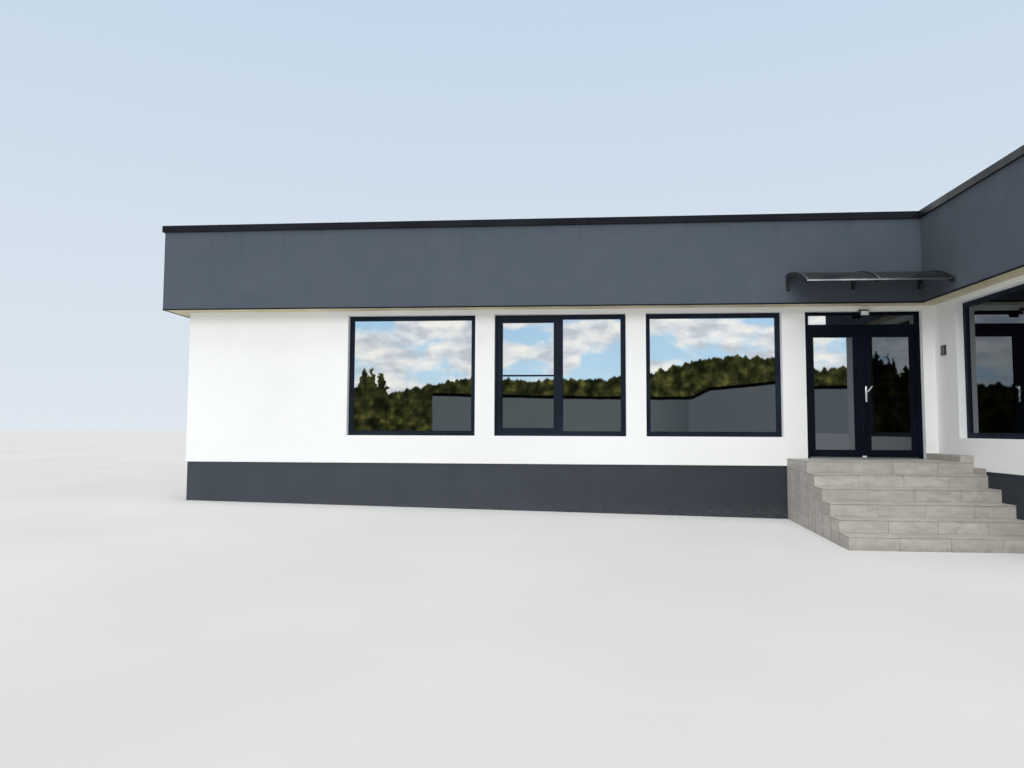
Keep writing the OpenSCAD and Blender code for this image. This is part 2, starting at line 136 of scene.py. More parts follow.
def add(tree, kind, links=None, **settings):
    """Adds one node. links gives an input socket a value, or another node's output."""
    made = tree.nodes.new(kind)
    for name, value in settings.items():
        setattr(made, name, value)
    for socket, value in (links or {}).items():
        if isinstance(value, bpy.types.NodeSocket):
            tree.links.new(value, made.inputs[socket])
        else:
            made.inputs[socket].default_value = value
    return made


def srgb(code):
    """Linear colour of an sRGB hex value."""
    channels = [int(code[k:k + 2], 16) / 255 for k in (1, 3, 5)]
    linear = [c / 12.92 if c <= 0.04045 else ((c + 0.055) / 1.055) ** 2.4 for c in channels]
    return (*linear, 1.0)


def new_finish(name, values):
    """A material, its tree and its shader, with the shader's own sockets set."""
    material = bpy.data.materials.new(name)
    material.use_nodes = True
    shader = material.node_tree.nodes["Principled BSDF"]
    for socket, value in values.items():
        shader.inputs[socket].default_value = value
    return material, material.node_tree, shader


def place_on(tree, stretch=(1, 1, 1)):
    """Object coordinates in metres, squeezed along an axis across which a pattern is drawn out."""
    spot = add(tree, "ShaderNodeTexCoord").outputs["Object"]
    return add(tree, "ShaderNodeMapping", {"Vector": spot, "Scale": stretch}).outputs["Vector"]


def drift(tree, place, size, colours, spread=0.16):
    """Colour that drifts through the hex colours in soft patches of about this size."""
    patches = add(tree, "ShaderNodeTexNoise", {"Vector": place, "Scale": 1 / size, "Detail": 5.0})
    ramp = add(tree, "ShaderNodeValToRGB", {"Fac": patches.outputs["Fac"]})
    stops = ramp.color_ramp.elements
    while len(stops) < len(colours):
        stops.new(0.5)
    for k, code in enumerate(colours):
        stops[k].position = 0.5 + spread * (2 * k / (len(colours) - 1) - 1)
        stops[k].color = srgb(code)
    return ramp.outputs["Color"]


def lay_over(tree, colour, code, factor):
    """A second colour over the first, as far as the factor says."""
    mix = add(tree, "ShaderNodeMixRGB", {"Fac": factor, "Color1": colour, "Color2": srgb(code)})
    return mix.outputs["Color"]


def fade(tree, value, start, end, low=0.0, high=1.0):
    """Turns a value between start and end into a share between low and high."""
    links = {"Value": value, "From Min": start, "From Max": end, "To Min": low, "To Max": high}
    return add(tree, "ShaderNodeMapRange", links, clamp=True).outputs["Result"]


def relief(tree, shader, layers):
    """Bumps the surface. layers lists (place, grain size, depth) from the coarsest to the finest."""
    normal = None
    for place, size, depth in layers:
        grain = add(tree, "ShaderNodeTexNoise", {"Vector": place, "Scale": 1 / size, "Detail": 3.0})
        links = {"Height": grain.outputs["Fac"], "Distance": depth, "Strength": 1.0}
        if normal:
            links["Normal"] = normal
        normal = add(tree, "ShaderNodeBump", links).outputs["Normal"]
    tree.links.new(normal, shader.inputs["Normal"])


def uneven_gloss(tree, shader, place, size, low, high):
    """Roughness that wanders between two values."""
    cloud = add(tree, "ShaderNodeTexNoise", {"Vector": place, "Scale": 1 / size, "Detail": 4.0})
    tree.links.new(fade(tree, cloud.outputs["Fac"], 0.3, 0.7, low, high), shader.inputs["Roughness"])


# Finishes

def silicone_render_white():
    """Silicone render, 1.5 mm grain, floated by hand: matt white with faint float marks.
    The grain is drawn as 6 mm, so that it shows at all."""
    material, tree, shader = new_finish("silicone_render_white", {"Specular IOR Level": 0.25})
    place = place_on(tree)
    colour = drift(tree, place, 1.4, ("#f0f1f1", "#f3f4f4", "#f5f6f6"))
    tree.links.new(colour, shader.inputs["Base Color"])
    relief(tree, shader, [(place, 300 * MM, 2.5 * MM), (place, 60 * MM, 0.8 * MM), (place, 6 * MM, 0.6 * MM)])
    uneven_gloss(tree, shader, place, 0.5, 0.86, 0.96)
    return material


def soffit_board():
    """Painted board under the overhang, with faint brush marks and dust. Its matt cream grey, darker and warmer than
    white, is painted shade and painted bounce light from the ground under the overhang.
    """
    material, tree, shader = new_finish("soffit_board", {"Roughness": 0.9, "Specular IOR Level": 0.2})
    place = place_on(tree)
    # Painted shade: the board is drawn cream grey, darker and warmer than white, for the shade and warm bounce under
    # the overhang
    colour = drift(tree, place, 0.5, ("#c4bb9b", "#cec5a8", "#d7cfb5"))
    tree.links.new(colour, shader.inputs["Base Color"])
    relief(tree, shader, [(place, 120 * MM, 0.6 * MM), (place, 5 * MM, 0.2 * MM)])
    return material


def silicone_render_grey():
    """Silicone render in slate grey on the fascia: matt, with soft patches a tone apart
    and faint upright streaks where rain runs off the coping."""
    material, tree, shader = new_finish("silicone_render_grey", {"Specular IOR Level": 0.05})
    place = place_on(tree)
    colour = drift(tree, place, 0.35, ("#4f5963", "#535c65", "#555d67", "#57616a"), 0.3)
    streaks = add(tree, "ShaderNodeTexNoise", {
        "Vector": place_on(tree, (1, 1, 0.05)), "Scale": 1 / (70 * MM), "Detail": 4.0,
    })
    height = add(tree, "ShaderNodeSeparateXYZ", {0: place_on(tree)}).outputs["Z"]
    below_coping = fade(tree, height, coping_lo.z - 0.7, coping_lo.z, 0.0, 0.35)
    wet = add(tree, "ShaderNodeMath", {
        0: fade(tree, streaks.outputs["Fac"], 0.5, 0.75), 1: below_coping,
    }, operation="MULTIPLY")
    colour = lay_over(tree, colour, "#434850", wet.outputs[0])
    tree.links.new(colour, shader.inputs["Base Color"])
    relief(tree, shader, [(place, 260 * MM, 1.2 * MM), (place, 50 * MM, 0.8 * MM), (place, 6 * MM, 0.6 * MM)])
    uneven_gloss(tree, shader, place, 0.4, 0.8, 0.92)
    return material


def plinth_render():
    """Waterproof plinth render, 2 mm grain, near black grey: a little rougher than the fascia,
    darker round the corner by the stair as painted shade, where the wing and the stair keep the light off, with pale
    splash marks low down."""
    material, tree, shader = new_finish("plinth_render", {"Specular IOR Level": 0.3})
    place = place_on(tree)
    colour = drift(tree, place, 0.4, ("#3c4149", "#40454d", "#41464e", "#454a52"), 0.3)
    # Painted shade: the render is drawn darker towards the corner by the stair, where the wing and the stair keep the
    # light off
    corner = add(tree, "ShaderNodeVectorMath", {0: place, 1: (corner_x, front_y, 0.0)}, operation="DISTANCE")
    colour = lay_over(tree, colour, "#202327", fade(tree, corner.outputs["Value"], 7.5, 2.0, 0.0, 0.6))
    height = add(tree, "ShaderNodeSeparateXYZ", {0: place}).outputs["Z"]
    splashes = add(tree, "ShaderNodeTexNoise", {"Vector": place, "Scale": 1 / (40 * MM), "Detail": 5.0})
    soiled = add(tree, "ShaderNodeMath", {
        0: fade(tree, height, 0.35, 0.0, 0.0, 0.35), 1: fade(tree, splashes.outputs["Fac"], 0.42, 0.7),
    }, operation="MULTIPLY")
    colour = lay_over(tree, colour, "#77756f", soiled.outputs[0])
    tree.links.new(colour, shader.inputs["Base Color"])
    relief(tree, shader, [(place, 200 * MM, 1.2 * MM), (place, 8 * MM, 1.2 * MM)])
    uneven_gloss(tree, shader, place, 0.3, 0.78, 0.92)
    return material


def smooth_screed():
    """Trowelled cement screed: pale grey with cloudy trowel marks and fine pores."""
    material, tree, shader = new_finish("smooth_screed", {})
    place = place_on(tree)
    colour = drift(tree, place, 0.6, ("#b9b6ae", "#c9c5be", "#d2cfc8"))
    tree.links.new(colour, shader.inputs["Base Color"])
    relief(tree, shader, [(place, 400 * MM, 2 * MM), (place, 12 * MM, 0.4 * MM)])
    uneven_gloss(tree, shader, place, 0.5, 0.55, 0.8)
    return material


def roofing_membrane():
    """Rolled roofing membrane with a fine mineral face: mid grey, dusty in broad patches."""
    material, tree, shader = new_finish("roofing_membrane", {"Specular IOR Level": 0.35})
    place = place_on(tree)
    colour = drift(tree, place, 1.1, ("#6f7375", "#777b7d", "#808386"))
    dust = add(tree, "ShaderNodeTexNoise", {"Vector": place, "Scale": 1 / 2.5, "Detail": 6.0})
    colour = lay_over(tree, colour, "#9c9a93", fade(tree, dust.outputs["Fac"], 0.55, 0.75, 0.0, 0.4))
    tree.links.new(colour, shader.inputs["Base Color"])
    relief(tree, shader, [(place, 700 * MM, 6 * MM), (place, 5 * MM, 0.5 * MM)])
    uneven_gloss(tree, shader, place, 0.8, 0.7, 0.9)
    return material


def folded_coated_steel():
    """Folded steel sheet with a matt polyester coat: near black, with the slight waves of thin sheet."""
    material, tree, shader = new_finish("folded_coated_steel", {"Specular IOR Level": 0.06})
    place = place_on(tree)
    colour = drift(tree, place, 0.8, ("#121318", "#17181d", "#1c1d23"))
    tree.links.new(colour, shader.inputs["Base Color"])
    relief(tree, shader, [(place, 900 * MM, 6 * MM), (place, 3 * MM, 0.1 * MM)])
    uneven_gloss(tree, shader, place, 0.5, 0.38, 0.55)
    return material


def foiled_window_profile():
    """Window profile in anthracite foil: blue grey satin with a fine leather-like grain."""
    material, tree, shader = new_finish("foiled_window_profile", {"Specular IOR Level": 0.045})
    place = place_on(tree)
    colour = drift(tree, place, 0.5, ("#171e2a", "#1b232f", "#202936"))
    tree.links.new(colour, shader.inputs["Base Color"])
    relief(tree, shader, [(place, 2 * MM, 0.15 * MM)])
    uneven_gloss(tree, shader, place, 0.25, 0.34, 0.46)
    return material


def door_profile_coat_and_shade():
    """Aluminium door profile, powder coated: blue black and smoother than the windows, with a faint orange peel. Its
    colour is kept darker than the windows' profile, partly as painted shade of the canopy over the door.
    """
    material, tree, shader = new_finish("door_profile_coat_and_shade", {"Specular IOR Level": 0.038})
    place = place_on(tree)
    # Painted shade in part: these blue blacks are darker than the windows' profile for the shade of the canopy over
    # the door
    colour = drift(tree, place, 0.5, ("#080d17", "#0b111d", "#0f1623"))
    tree.links.new(colour, shader.inputs["Base Color"])
    relief(tree, shader, [(place, 5 * MM, 0.05 * MM)])
    uneven_gloss(tree, shader, place, 0.25, 0.3, 0.4)
    return material


def solar_control_glass():
    """Float glass with a metal oxide coat: acts as a grey blue mirror by day and hides the rooms,
    with the faint waves that bend what it mirrors."""
    material, tree, shader = new_finish("solar_control_glass", {
        "Metallic": 0.95, "Transmission Weight": 1.0, "IOR": 1.52, "Roughness": 0.01,
    })
    place = place_on(tree)
    colour = drift(tree, place, 1.6, ("#666c72", "#6b7177"))
    tree.links.new(colour, shader.inputs["Base Color"])
    relief(tree, shader, [(place, 900 * MM, 0.25 * MM)])
    return material


def anodised_aluminium():
    """Extruded aluminium, silver anodised: satin, with fine draw lines along the bar."""
    material, tree, shader = new_finish("anodised_aluminium", {"Metallic": 1.0})
    place = place_on(tree)
    colour = drift(tree, place, 0.3, ("#6c6c6e", "#777779", "#818183"))
    tree.links.new(colour, shader.inputs["Base Color"])
    relief(tree, shader, [(place_on(tree, (0.02, 1, 1)), 1.5 * MM, 0.05 * MM)])
    uneven_gloss(tree, shader, place, 0.2, 0.28, 0.42)
    return material


def brushed_stainless():
    """Stainless steel with an upright brush grain: bright, with long soft highlights."""
    material, tree, shader = new_finish("brushed_stainless", {"Metallic": 0.75, "Anisotropic": 0.4})
    colour = drift(tree, place_on(tree), 0.05, ("#c3c3c5", "#d2d2d4"))
    tree.links.new(colour, shader.inputs["Base Color"])
    brush = place_on(tree, (1, 1, 0.02))
    relief(tree, shader, [(brush, 0.8 * MM, 0.03 * MM)])
    uneven_gloss(tree, shader, brush, 2 * MM, 0.2, 0.34)
    return material


def porcelain_tile():
    """Porcelain tile printed as soft sandstone: matt warm grey with long drawn veins,
    no two tiles quite alike in tone, and darker in blotches near the ground, partly soil and partly painted shade low
    on the stair. tile_shift and tile_tone are stored on each tile."""
    material, tree, shader = new_finish("porcelain_tile", {"Specular IOR Level": 0.4})
    place = add(tree, "ShaderNodeTexCoord").outputs["Object"]
    shift = add(tree, "ShaderNodeAttribute", attribute_name="tile_shift").outputs["Vector"]
    place = add(tree, "ShaderNodeVectorMath", {0: place, 1: shift}, operation="ADD").outputs["Vector"]
    veined = add(tree, "ShaderNodeMapping", {
        "Vector": place, "Scale": (0.4, 0.8, 1.0), "Rotation": (0, math.radians(24), 0),
    }).outputs["Vector"]
    colour = drift(tree, veined, 80 * MM, ("#a19c95", "#afaaa3", "#b8b3ac", "#c1bcb5"), 0.2)
    pale = add(tree, "ShaderNodeTexNoise", {"Vector": veined, "Scale": 1 / (28 * MM), "Detail": 6.0})
    colour = lay_over(tree, colour, "#c2bdb7", fade(tree, pale.outputs["Fac"], 0.52, 0.7, 0.0, 0.6))
    tone = add(tree, "ShaderNodeAttribute", attribute_name="tile_tone").outputs["Fac"]
    colour = lay_over(tree, colour, "#8f8b85", fade(tree, tone, 0.0, 1.0, 0.0, 0.4))
    # Darker in blotches towards the ground: partly soil, partly painted shade low on the stair
    height = add(tree, "ShaderNodeSeparateXYZ", {0: place_on(tree)}).outputs["Z"]
    soil = add(tree, "ShaderNodeTexNoise", {"Vector": place_on(tree), "Scale": 1 / (90 * MM), "Detail": 5.0})
    soiled = add(tree, "ShaderNodeMath", {
        0: fade(tree, height, 0.16, 0.0, 0.0, 0.7), 1: fade(tree, soil.outputs["Fac"], 0.3, 0.7, 0.3, 1.0),
    }, operation="MULTIPLY")
    colour = lay_over(tree, colour, "#7b766f", soiled.outputs[0])
    tree.links.new(colour, shader.inputs["Base Color"])
    relief(tree, shader, [(veined, 60 * MM, 0.5 * MM), (place, 4 * MM, 0.12 * MM)])
    uneven_gloss(tree, shader, place, 0.15, 0.42, 0.6)
    return material


def tile_grout():
    """Cement grout in the joints: mid grey, sandy and darker where it stays damp."""
    material, tree, shader = new_finish("tile_grout", {"Roughness": 0.95})
    place = place_on(tree)
    colour = drift(tree, place, 0.12, ("#625d57", "#6d6862", "#78736c"))
    tree.links.new(colour, shader.inputs["Base Color"])
    relief(tree, shader, [(place, 3 * MM, 0.6 * MM)])
    return material


def smoked_polycarbonate():
    """Solid polycarbonate sheet in smoke grey: glossy and dark, lets a little light through."""
    material, tree, shader = new_finish("smoked_polycarbonate", {
        "IOR": 1.585, "Transmission Weight": 0.15, "Specular IOR Level": 0.2,
    })
    place = place_on(tree)
    colour = drift(tree, place, 0.6, ("#17181a", "#1d1e20", "#232427"))
    tree.links.new(colour, shader.inputs["Base Color"])
    relief(tree, shader, [(place, 500 * MM, 0.8 * MM)])
    uneven_gloss(tree, shader, place, 0.3, 0.16, 0.3)
    return material


def moulded_black_plastic():
    """Glass filled nylon, injection moulded: soft black with a fine spark-eroded texture."""
    material, tree, shader = new_finish("moulded_black_plastic", {"Specular IOR Level": 0.4})
    place = place_on(tree)
    colour = drift(tree, place, 0.15, ("#141517", "#1b1c1e", "#222326"))
    tree.links.new(colour, shader.inputs["Base Color"])
    relief(tree, shader, [(place, 1.5 * MM, 0.1 * MM)])
    uneven_gloss(tree, shader, place, 0.1, 0.45, 0.6)
    return material


def sealing_rubber():
    """Extruded rubber seal: dull black, slightly dusty."""
    material, tree, shader = new_finish("sealing_rubber", {"Specular IOR Level": 0.3})
    place = place_on(tree)
    colour = drift(tree, place, 0.08, ("#0f1011", "#17181a", "#242527"))
    tree.links.new(colour, shader.inputs["Base Color"])
    uneven_gloss(tree, shader, place, 0.05, 0.62, 0.8)
    return material


def opal_lens():
    """Frosted glass over the lamp and in the bell: pale and milky, with a prism relief."""
    material, tree, shader = new_finish("opal_lens", {"Coat Weight": 0.6, "Coat Roughness": 0.08})
    place = place_on(tree)
    colour = drift(tree, place, 12 * MM, ("#cfd2d2", "#e3e5e4", "#f0f1ef"))
    tree.links.new(colour, shader.inputs["Base Color"])
    relief(tree, shader, [(place, 4 * MM, 0.4 * MM)])
    uneven_gloss(tree, shader, place, 20 * MM, 0.3, 0.4)
    return material


def white_pvc():
    """White moulded PVC: clean, softly glossy, with a trace of grey dust."""
    material, tree, shader = new_finish("white_pvc", {"Specular IOR Level": 0.5})
    place = place_on(tree)
    colour = drift(tree, place, 0.06, ("#dcdcd8", "#e9e9e6", "#f1f1ef"))
    tree.links.new(colour, shader.inputs["Base Color"])
    relief(tree, shader, [(place, 2 * MM, 0.06 * MM)])
    uneven_gloss(tree, shader, place, 0.05, 0.3, 0.42)
    return material


WHITE_RENDER = silicone_render_white()
GREY_RENDER = silicone_render_grey()
PLINTH = plinth_render()
SOFFIT = soffit_board()
SCREED = smooth_screed()
MEMBRANE = roofing_membrane()
COATED_STEEL = folded_coated_steel()
PROFILE = foiled_window_profile()
DOOR_PROFILE = door_profile_coat_and_shade()
GLASS = solar_control_glass()
ALUMINIUM = anodised_aluminium()
STAINLESS = brushed_stainless()
TILE = porcelain_tile()
GROUT = tile_grout()
SMOKED_SHEET = smoked_polycarbonate()
BLACK_PLASTIC = moulded_black_plastic()
RUBBER = sealing_rubber()
LENS = opal_lens()
PVC = white_pvc()

FINISH_OF_SLOT = {
    "white_render": WHITE_RENDER, "dark_render": GREY_RENDER, "plinth_render": PLINTH,
    "concrete": SCREED, "roofing": MEMBRANE, "coping_metal": COATED_STEEL,
    "frame_paint": PROFILE, "glazing": GLASS, "aluminium": ALUMINIUM, "steel": STAINLESS,
    "stone_tile": TILE, "canopy_sheet": SMOKED_SHEET, "black_plastic": BLACK_PLASTIC,
}


def dress_nodes():
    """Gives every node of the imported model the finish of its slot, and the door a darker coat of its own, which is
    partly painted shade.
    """
    for part in frame["record"]["subparts"]:
        finish = FINISH_OF_SLOT[part["material_slot"]]
        # The door's darker profile finish is partly painted shade of the canopy
        if finish == PROFILE and "door" in part["node"]:
            finish = DOOR_PROFILE
        mesh = frame["nodes"][part["node"]].data
        mesh.materials.clear()
        mesh.materials.append(finish)


# Pieces and shapes

def piece(name, mesh, finishes, body="house", replaces=()):
    """Puts a finished mesh in the scene, on a body of the model."""
    mesh.name = name
    for finish in finishes:
        mesh.materials.append(finish)
    made = bpy.data.objects.new(name, mesh)
    bpy.context.scene.collection.objects.link(made)
    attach(made, body)
    if replaces:
        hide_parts(*replaces)
    return made


def mesh_from(bm, round_angle=None):
    """Turns a working shape into a mesh. Edges flatter than the angle are shaded round."""
    mesh = bpy.data.meshes.new("shape")
    bm.to_mesh(mesh)
    bm.free()
    if round_angle:
        mesh.shade_smooth()
        mesh.set_sharp_from_angle(angle=math.radians(round_angle))
    return mesh


def block(bm, lo, hi, finish=0, rounding=0.0, turn=None):
    """Adds a box between two corners, with its edges rounded, and turned by a matrix."""
    fresh = bmesh.new()
    bmesh.ops.create_cube(fresh, size=1.0)
    size = Vector(hi) - Vector(lo)
    middle = (Vector(hi) + Vector(lo)) / 2
    for vert in fresh.verts:
        vert.co = Vector([vert.co[axis] * size[axis] for axis in range(3)]) + middle
    if rounding:
        bmesh.ops.bevel(fresh, geom=fresh.edges, offset=rounding, segments=3, profile=0.5, affect="EDGES")
    join(bm, fresh, finish, turn)


def disc(bm, centre, radius, height, facing, finish=0, sides=32, top=None):
    """Adds a round bar or a tapered one, which stands on centre and rises along facing."""
    fresh = bmesh.new()
    bmesh.ops.create_cone(fresh, cap_ends=True, segments=sides, radius1=radius,
                          radius2=radius if top is None else top, depth=height)
    lift = Matrix.Translation((0, 0, height / 2))
    aim = Vector(facing).to_track_quat("Z", "Y").to_matrix().to_4x4()
    join(bm, fresh, finish, Matrix.Translation(centre) @ aim @ lift)


def join(bm, fresh, finish, turn=None):
    """Moves a fresh shape into the working shape, with its finish number."""
    for face in fresh.faces:
        face.material_index = finish
    if turn:
        bmesh.ops.transform(fresh, matrix=turn, verts=fresh.verts)
    mesh = bpy.data.meshes.new("fresh")
    fresh.to_mesh(mesh)
    fresh.free()
    bm.from_mesh(mesh)
    bpy.data.meshes.remove(mesh)


def round_house(profile):
    """Closed moulding round the house. profile lists (distance out from the wall face, height)."""
    bm = bmesh.new()
    rings = [[bm.verts.new((spot.x, spot.y, z)) for spot in outline(out)] for out, z in profile]
    for ring, following in zip(rings, rings[1:] + rings[:1]):
        for k in range(len(ring)):
            after = (k + 1) % len(ring)
            bm.faces.new((ring[k], ring[after], following[after], following[k]))
    bmesh.ops.recalc_face_normals(bm, faces=bm.faces)
    return bm


def plan_sheet(bm, out, z_low, z_high):
    """Adds a flat sheet with the house's outline."""
    low = [bm.verts.new((spot.x, spot.y, z_low)) for spot in outline(out)]
    high = [bm.verts.new((spot.x, spot.y, z_high)) for spot in outline(out)]
    bm.faces.new(high)
    bm.faces.new(low[::-1])
    for k in range(len(low)):
        after = (k + 1) % len(low)
        bm.faces.new((low[k], low[after], high[after], high[k]))


def rod(points, radius, bend):
    """Mesh of a round bar along points, with bent corners and closed ends."""
    curve = bpy.data.curves.new("rod", "CURVE")
    curve.dimensions = "3D"
    curve.bevel_depth = radius
    curve.bevel_resolution = 6
    curve.use_fill_caps = True
    path = [points[0]]
    for before, corner, after in zip(points, points[1:], points[2:]):
        start = corner + (before - corner).normalized() * bend
        end = corner + (after - corner).normalized() * bend
        path += [start.lerp(corner, t).lerp(corner.lerp(end, t), t) for t in (0, 0.2, 0.4, 0.6, 0.8, 1)]
    path.append(points[-1])
    line = curve.splines.new("POLY")
    line.points.add(len(path) - 1)
    for point, spot in zip(line.points, path):
        point.co = (*spot, 1.0)
    holder = bpy.data.objects.new("rod", curve)
    mesh = bpy.data.meshes.new_from_object(holder)
    bpy.data.objects.remove(holder)
    bpy.data.curves.remove(curve)
    return mesh


# Geometry trees for what repeats

def start_tree(name, inputs):
    """An empty geometry tree with named inputs, given as {name: kind of socket}."""
    tree = bpy.data.node_groups.new(name, "GeometryNodeTree")
    tree.interface.new_socket("Path", in_out="INPUT", socket_type="NodeSocketGeometry")
    for label, kind in inputs.items():
        tree.interface.new_socket(label, in_out="INPUT", socket_type="NodeSocket" + kind)
    tree.interface.new_socket("Finish", in_out="INPUT", socket_type="NodeSocketMaterial")
    tree.interface.new_socket("Shape", in_out="OUTPUT", socket_type="NodeSocketGeometry")
    return tree, add(tree, "NodeGroupInput").outputs


def end_tree(tree, shape, finish):
    """Makes the copies real and gives them their finish."""
    real = add(tree, "GeometryNodeRealizeInstances", {"Geometry": shape}).outputs["Geometry"]
    done = add(tree, "GeometryNodeSetMaterial", {"Geometry": real, "Material": finish})
    add(tree, "NodeGroupOutput", {0: done.outputs["Geometry"]})
    return tree


def bead_tree():
    """A bead of round or many-sided section that follows the edges given to it."""
    tree, given = start_tree("bead_along_edges", {"Radius": "Float", "Sides": "Int"})
    path = add(tree, "GeometryNodeMeshToCurve", {"Mesh": given["Path"]}).outputs["Curve"]
    section = add(tree, "GeometryNodeCurvePrimitiveCircle", {
        "Resolution": given["Sides"], "Radius": given["Radius"],
    }).outputs["Curve"]
    swept = add(tree, "GeometryNodeCurveToMesh", {
        "Curve": path, "Profile Curve": section, "Fill Caps": True,
    }).outputs["Mesh"]
    return end_tree(tree, swept, given["Finish"])


def box_tree():
    """A box on each point, from that corner on, with the size stored on the point.
    Each box also keeps a shift and a tone of its own, for its finish."""
    tree, given = start_tree("boxes_on_points", {"Seed": "Int"})
    cube = add(tree, "GeometryNodeMeshCube", {"Size": (1, 1, 1)}).outputs["Mesh"]
    cube = add(tree, "GeometryNodeTransform", {
        "Geometry": cube, "Translation": (0.5, 0.5, 0.5),
    }).outputs["Geometry"]
    size = add(tree, "GeometryNodeInputNamedAttribute", {"Name": "size"}, data_type="FLOAT_VECTOR")
    boxes = add(tree, "GeometryNodeInstanceOnPoints", {
        "Points": given["Path"], "Instance": cube, "Scale": size.outputs["Attribute"],
    }).outputs["Instances"]
    for name, kind, socket, span in (
        ("tile_shift", "FLOAT_VECTOR", 0, (9.0, 9.0, 9.0)), ("tile_tone", "FLOAT", 1, 1.0),
    ):
        chance = add(tree, "FunctionNodeRandomValue", {"Seed": given["Seed"]}, data_type=kind)
        chance.inputs[1 if kind == "FLOAT_VECTOR" else 3].default_value = span
        boxes = add(tree, "GeometryNodeStoreNamedAttribute", {
            "Geometry": boxes, "Name": name, "Value": chance.outputs[socket],
        }, data_type=kind, domain="INSTANCE").outputs["Geometry"]
    return end_tree(tree, boxes, given["Finish"])


def screw_tree():
    """A round screw head at even steps along the edges given to it."""
    tree, given = start_tree("screws_along_edges", {"Step": "Float", "Radius": "Float", "Facing": "Vector"})
    path = add(tree, "GeometryNodeMeshToCurve", {"Mesh": given["Path"]}).outputs["Curve"]
    spots = add(tree, "GeometryNodeResampleCurve", {"Curve": path}, mode="LENGTH")
    tree.links.new(given["Step"], spots.inputs["Length"])
    head = add(tree, "GeometryNodeMeshUVSphere", {
        "Segments": 12, "Rings": 6, "Radius": given["Radius"],
    }).outputs["Mesh"]
    flat = add(tree, "GeometryNodeTransform", {"Geometry": head, "Scale": (1, 1, 0.5)}).outputs["Geometry"]
    aim = add(tree, "FunctionNodeAlignRotationToVector", {"Vector": given["Facing"]}, axis="Z")
    heads = add(tree, "GeometryNodeInstanceOnPoints", {
        "Points": spots.outputs["Curve"], "Instance": flat, "Rotation": aim.outputs["Rotation"],
    }).outputs["Instances"]
    return end_tree(tree, heads, given["Finish"])


BEADS = bead_tree()
BOXES = box_tree()
SCREWS = screw_tree()


def grow(tree, spots, edges, values, sizes=None):
    """Runs a tree on points and edges, and gives the plain mesh that it makes."""
    base = bpy.data.meshes.new("base")
    base.from_pydata(spots, edges, [])
    if sizes:
        stored = base.attributes.new("size", "FLOAT_VECTOR", "POINT")
        stored.data.foreach_set("vector", [part for size in sizes for part in size])
    holder = bpy.data.objects.new("holder", base)
    bpy.context.scene.collection.objects.link(holder)
    modifier = holder.modifiers.new("grow", "NODES")
    modifier.node_group = tree
    for item in tree.interface.items_tree:
        if item.in_out == "INPUT" and item.name in values:
            modifier[item.identifier] = values[item.name]
    graph = bpy.context.evaluated_depsgraph_get()
    mesh = bpy.data.meshes.new_from_object(
        holder.evaluated_get(graph), preserve_all_data_layers=True, depsgraph=graph)
    # A grown mesh starts with an empty slot, so its slots are cleared and piece() fills them
    mesh.materials.clear()
    bpy.data.objects.remove(holder)
    bpy.data.meshes.remove(base)
    return mesh


def boxes(pairs, finish, seed=1):
    """Mesh of boxes, each between two opposite corners."""
    pairs = [corners_of(pair) for pair in pairs]
    sizes = [hi - lo for lo, hi in pairs]
    return grow(BOXES, [lo for lo, hi in pairs], [], {"Finish": finish, "Seed": seed}, sizes)


def beads(loops, finish, radius, sides=8, closed=True):
    """Mesh of beads along loops of points."""
    spots, edges = [], []
    for loop in loops:
        first = len(spots)
        spots.extend(loop)
        edges.extend((first + k, first + k + 1) for k in range(len(loop) - 1))
        if closed:
            edges.append((len(spots) - 1, first))
    return grow(BEADS, spots, edges, {"Finish": finish, "Radius": radius, "Sides": sides})


def screws(lines, finish, step, radius, facing):
    """Mesh of screw heads along straight lines, each given by its two ends."""
    spots = [spot for line in lines for spot in line]
    edges = [(2 * k, 2 * k + 1) for k in range(len(lines))]
    values = {"Finish": finish, "Step": step, "Radius": radius, "Facing": facing}
    return grow(SCREWS, spots, edges, values)


def soften(made, width):
    """Rounds the edges of a finished piece a little."""
    bevel = made.modifiers.new("soft edges", "BEVEL")
    bevel.width = width
    bevel.segments = 2
    bevel.limit_method = "ANGLE"
    bevel.harden_normals = False
    return made


# Fascia, soffit and coping

DRIP_ABOVE = 10 * MM
DRIP_BELOW = 9 * MM
DRIP_PROUD = 4 * MM
DRIP_FLANGE = 22 * MM
SOFFIT_T = 3 * MM


def drip_edge():
    """Black metal edge along the bottom of the fascia, which hangs a little below the soffit."""
    top, low = soffit_z + DRIP_ABOVE, soffit_z - DRIP_BELOW
    profile = [
        (overhang, top), (overhang + DRIP_PROUD, top), (overhang + DRIP_PROUD, low),
        (overhang - DRIP_FLANGE, low), (overhang - DRIP_FLANGE, soffit_z), (overhang, soffit_z),
    ]
    piece("fascia_drip_edge", mesh_from(round_house(profile)), [COATED_STEEL])


def soffit():
    """Painted board on the underside of the overhang."""
    profile = [
        (0, soffit_z - SOFFIT_T), (overhang - DRIP_FLANGE, soffit_z - SOFFIT_T),
        (overhang - DRIP_FLANGE, soffit_z), (0, soffit_z),
    ]
    piece("soffit_boards", mesh_from(round_house(profile)), [SOFFIT])


BASE_RAIL_H = 9 * MM
BASE_RAIL_T = 4 * MM


def base_rail():
    """Thin rail under the bottom edge of the wall render, over the recessed plinth."""
    profile = [
        (0, plinth_top - BASE_RAIL_H), (0, plinth_top), (-BASE_RAIL_T, plinth_top),
        (-BASE_RAIL_T, plinth_top - BASE_RAIL_H),
    ]
    piece("wall_base_rail", mesh_from(round_house(profile)), [PVC])


LAP_STEP = 2.0
LAP_W = 60 * MM
LAP_T = 1.2 * MM


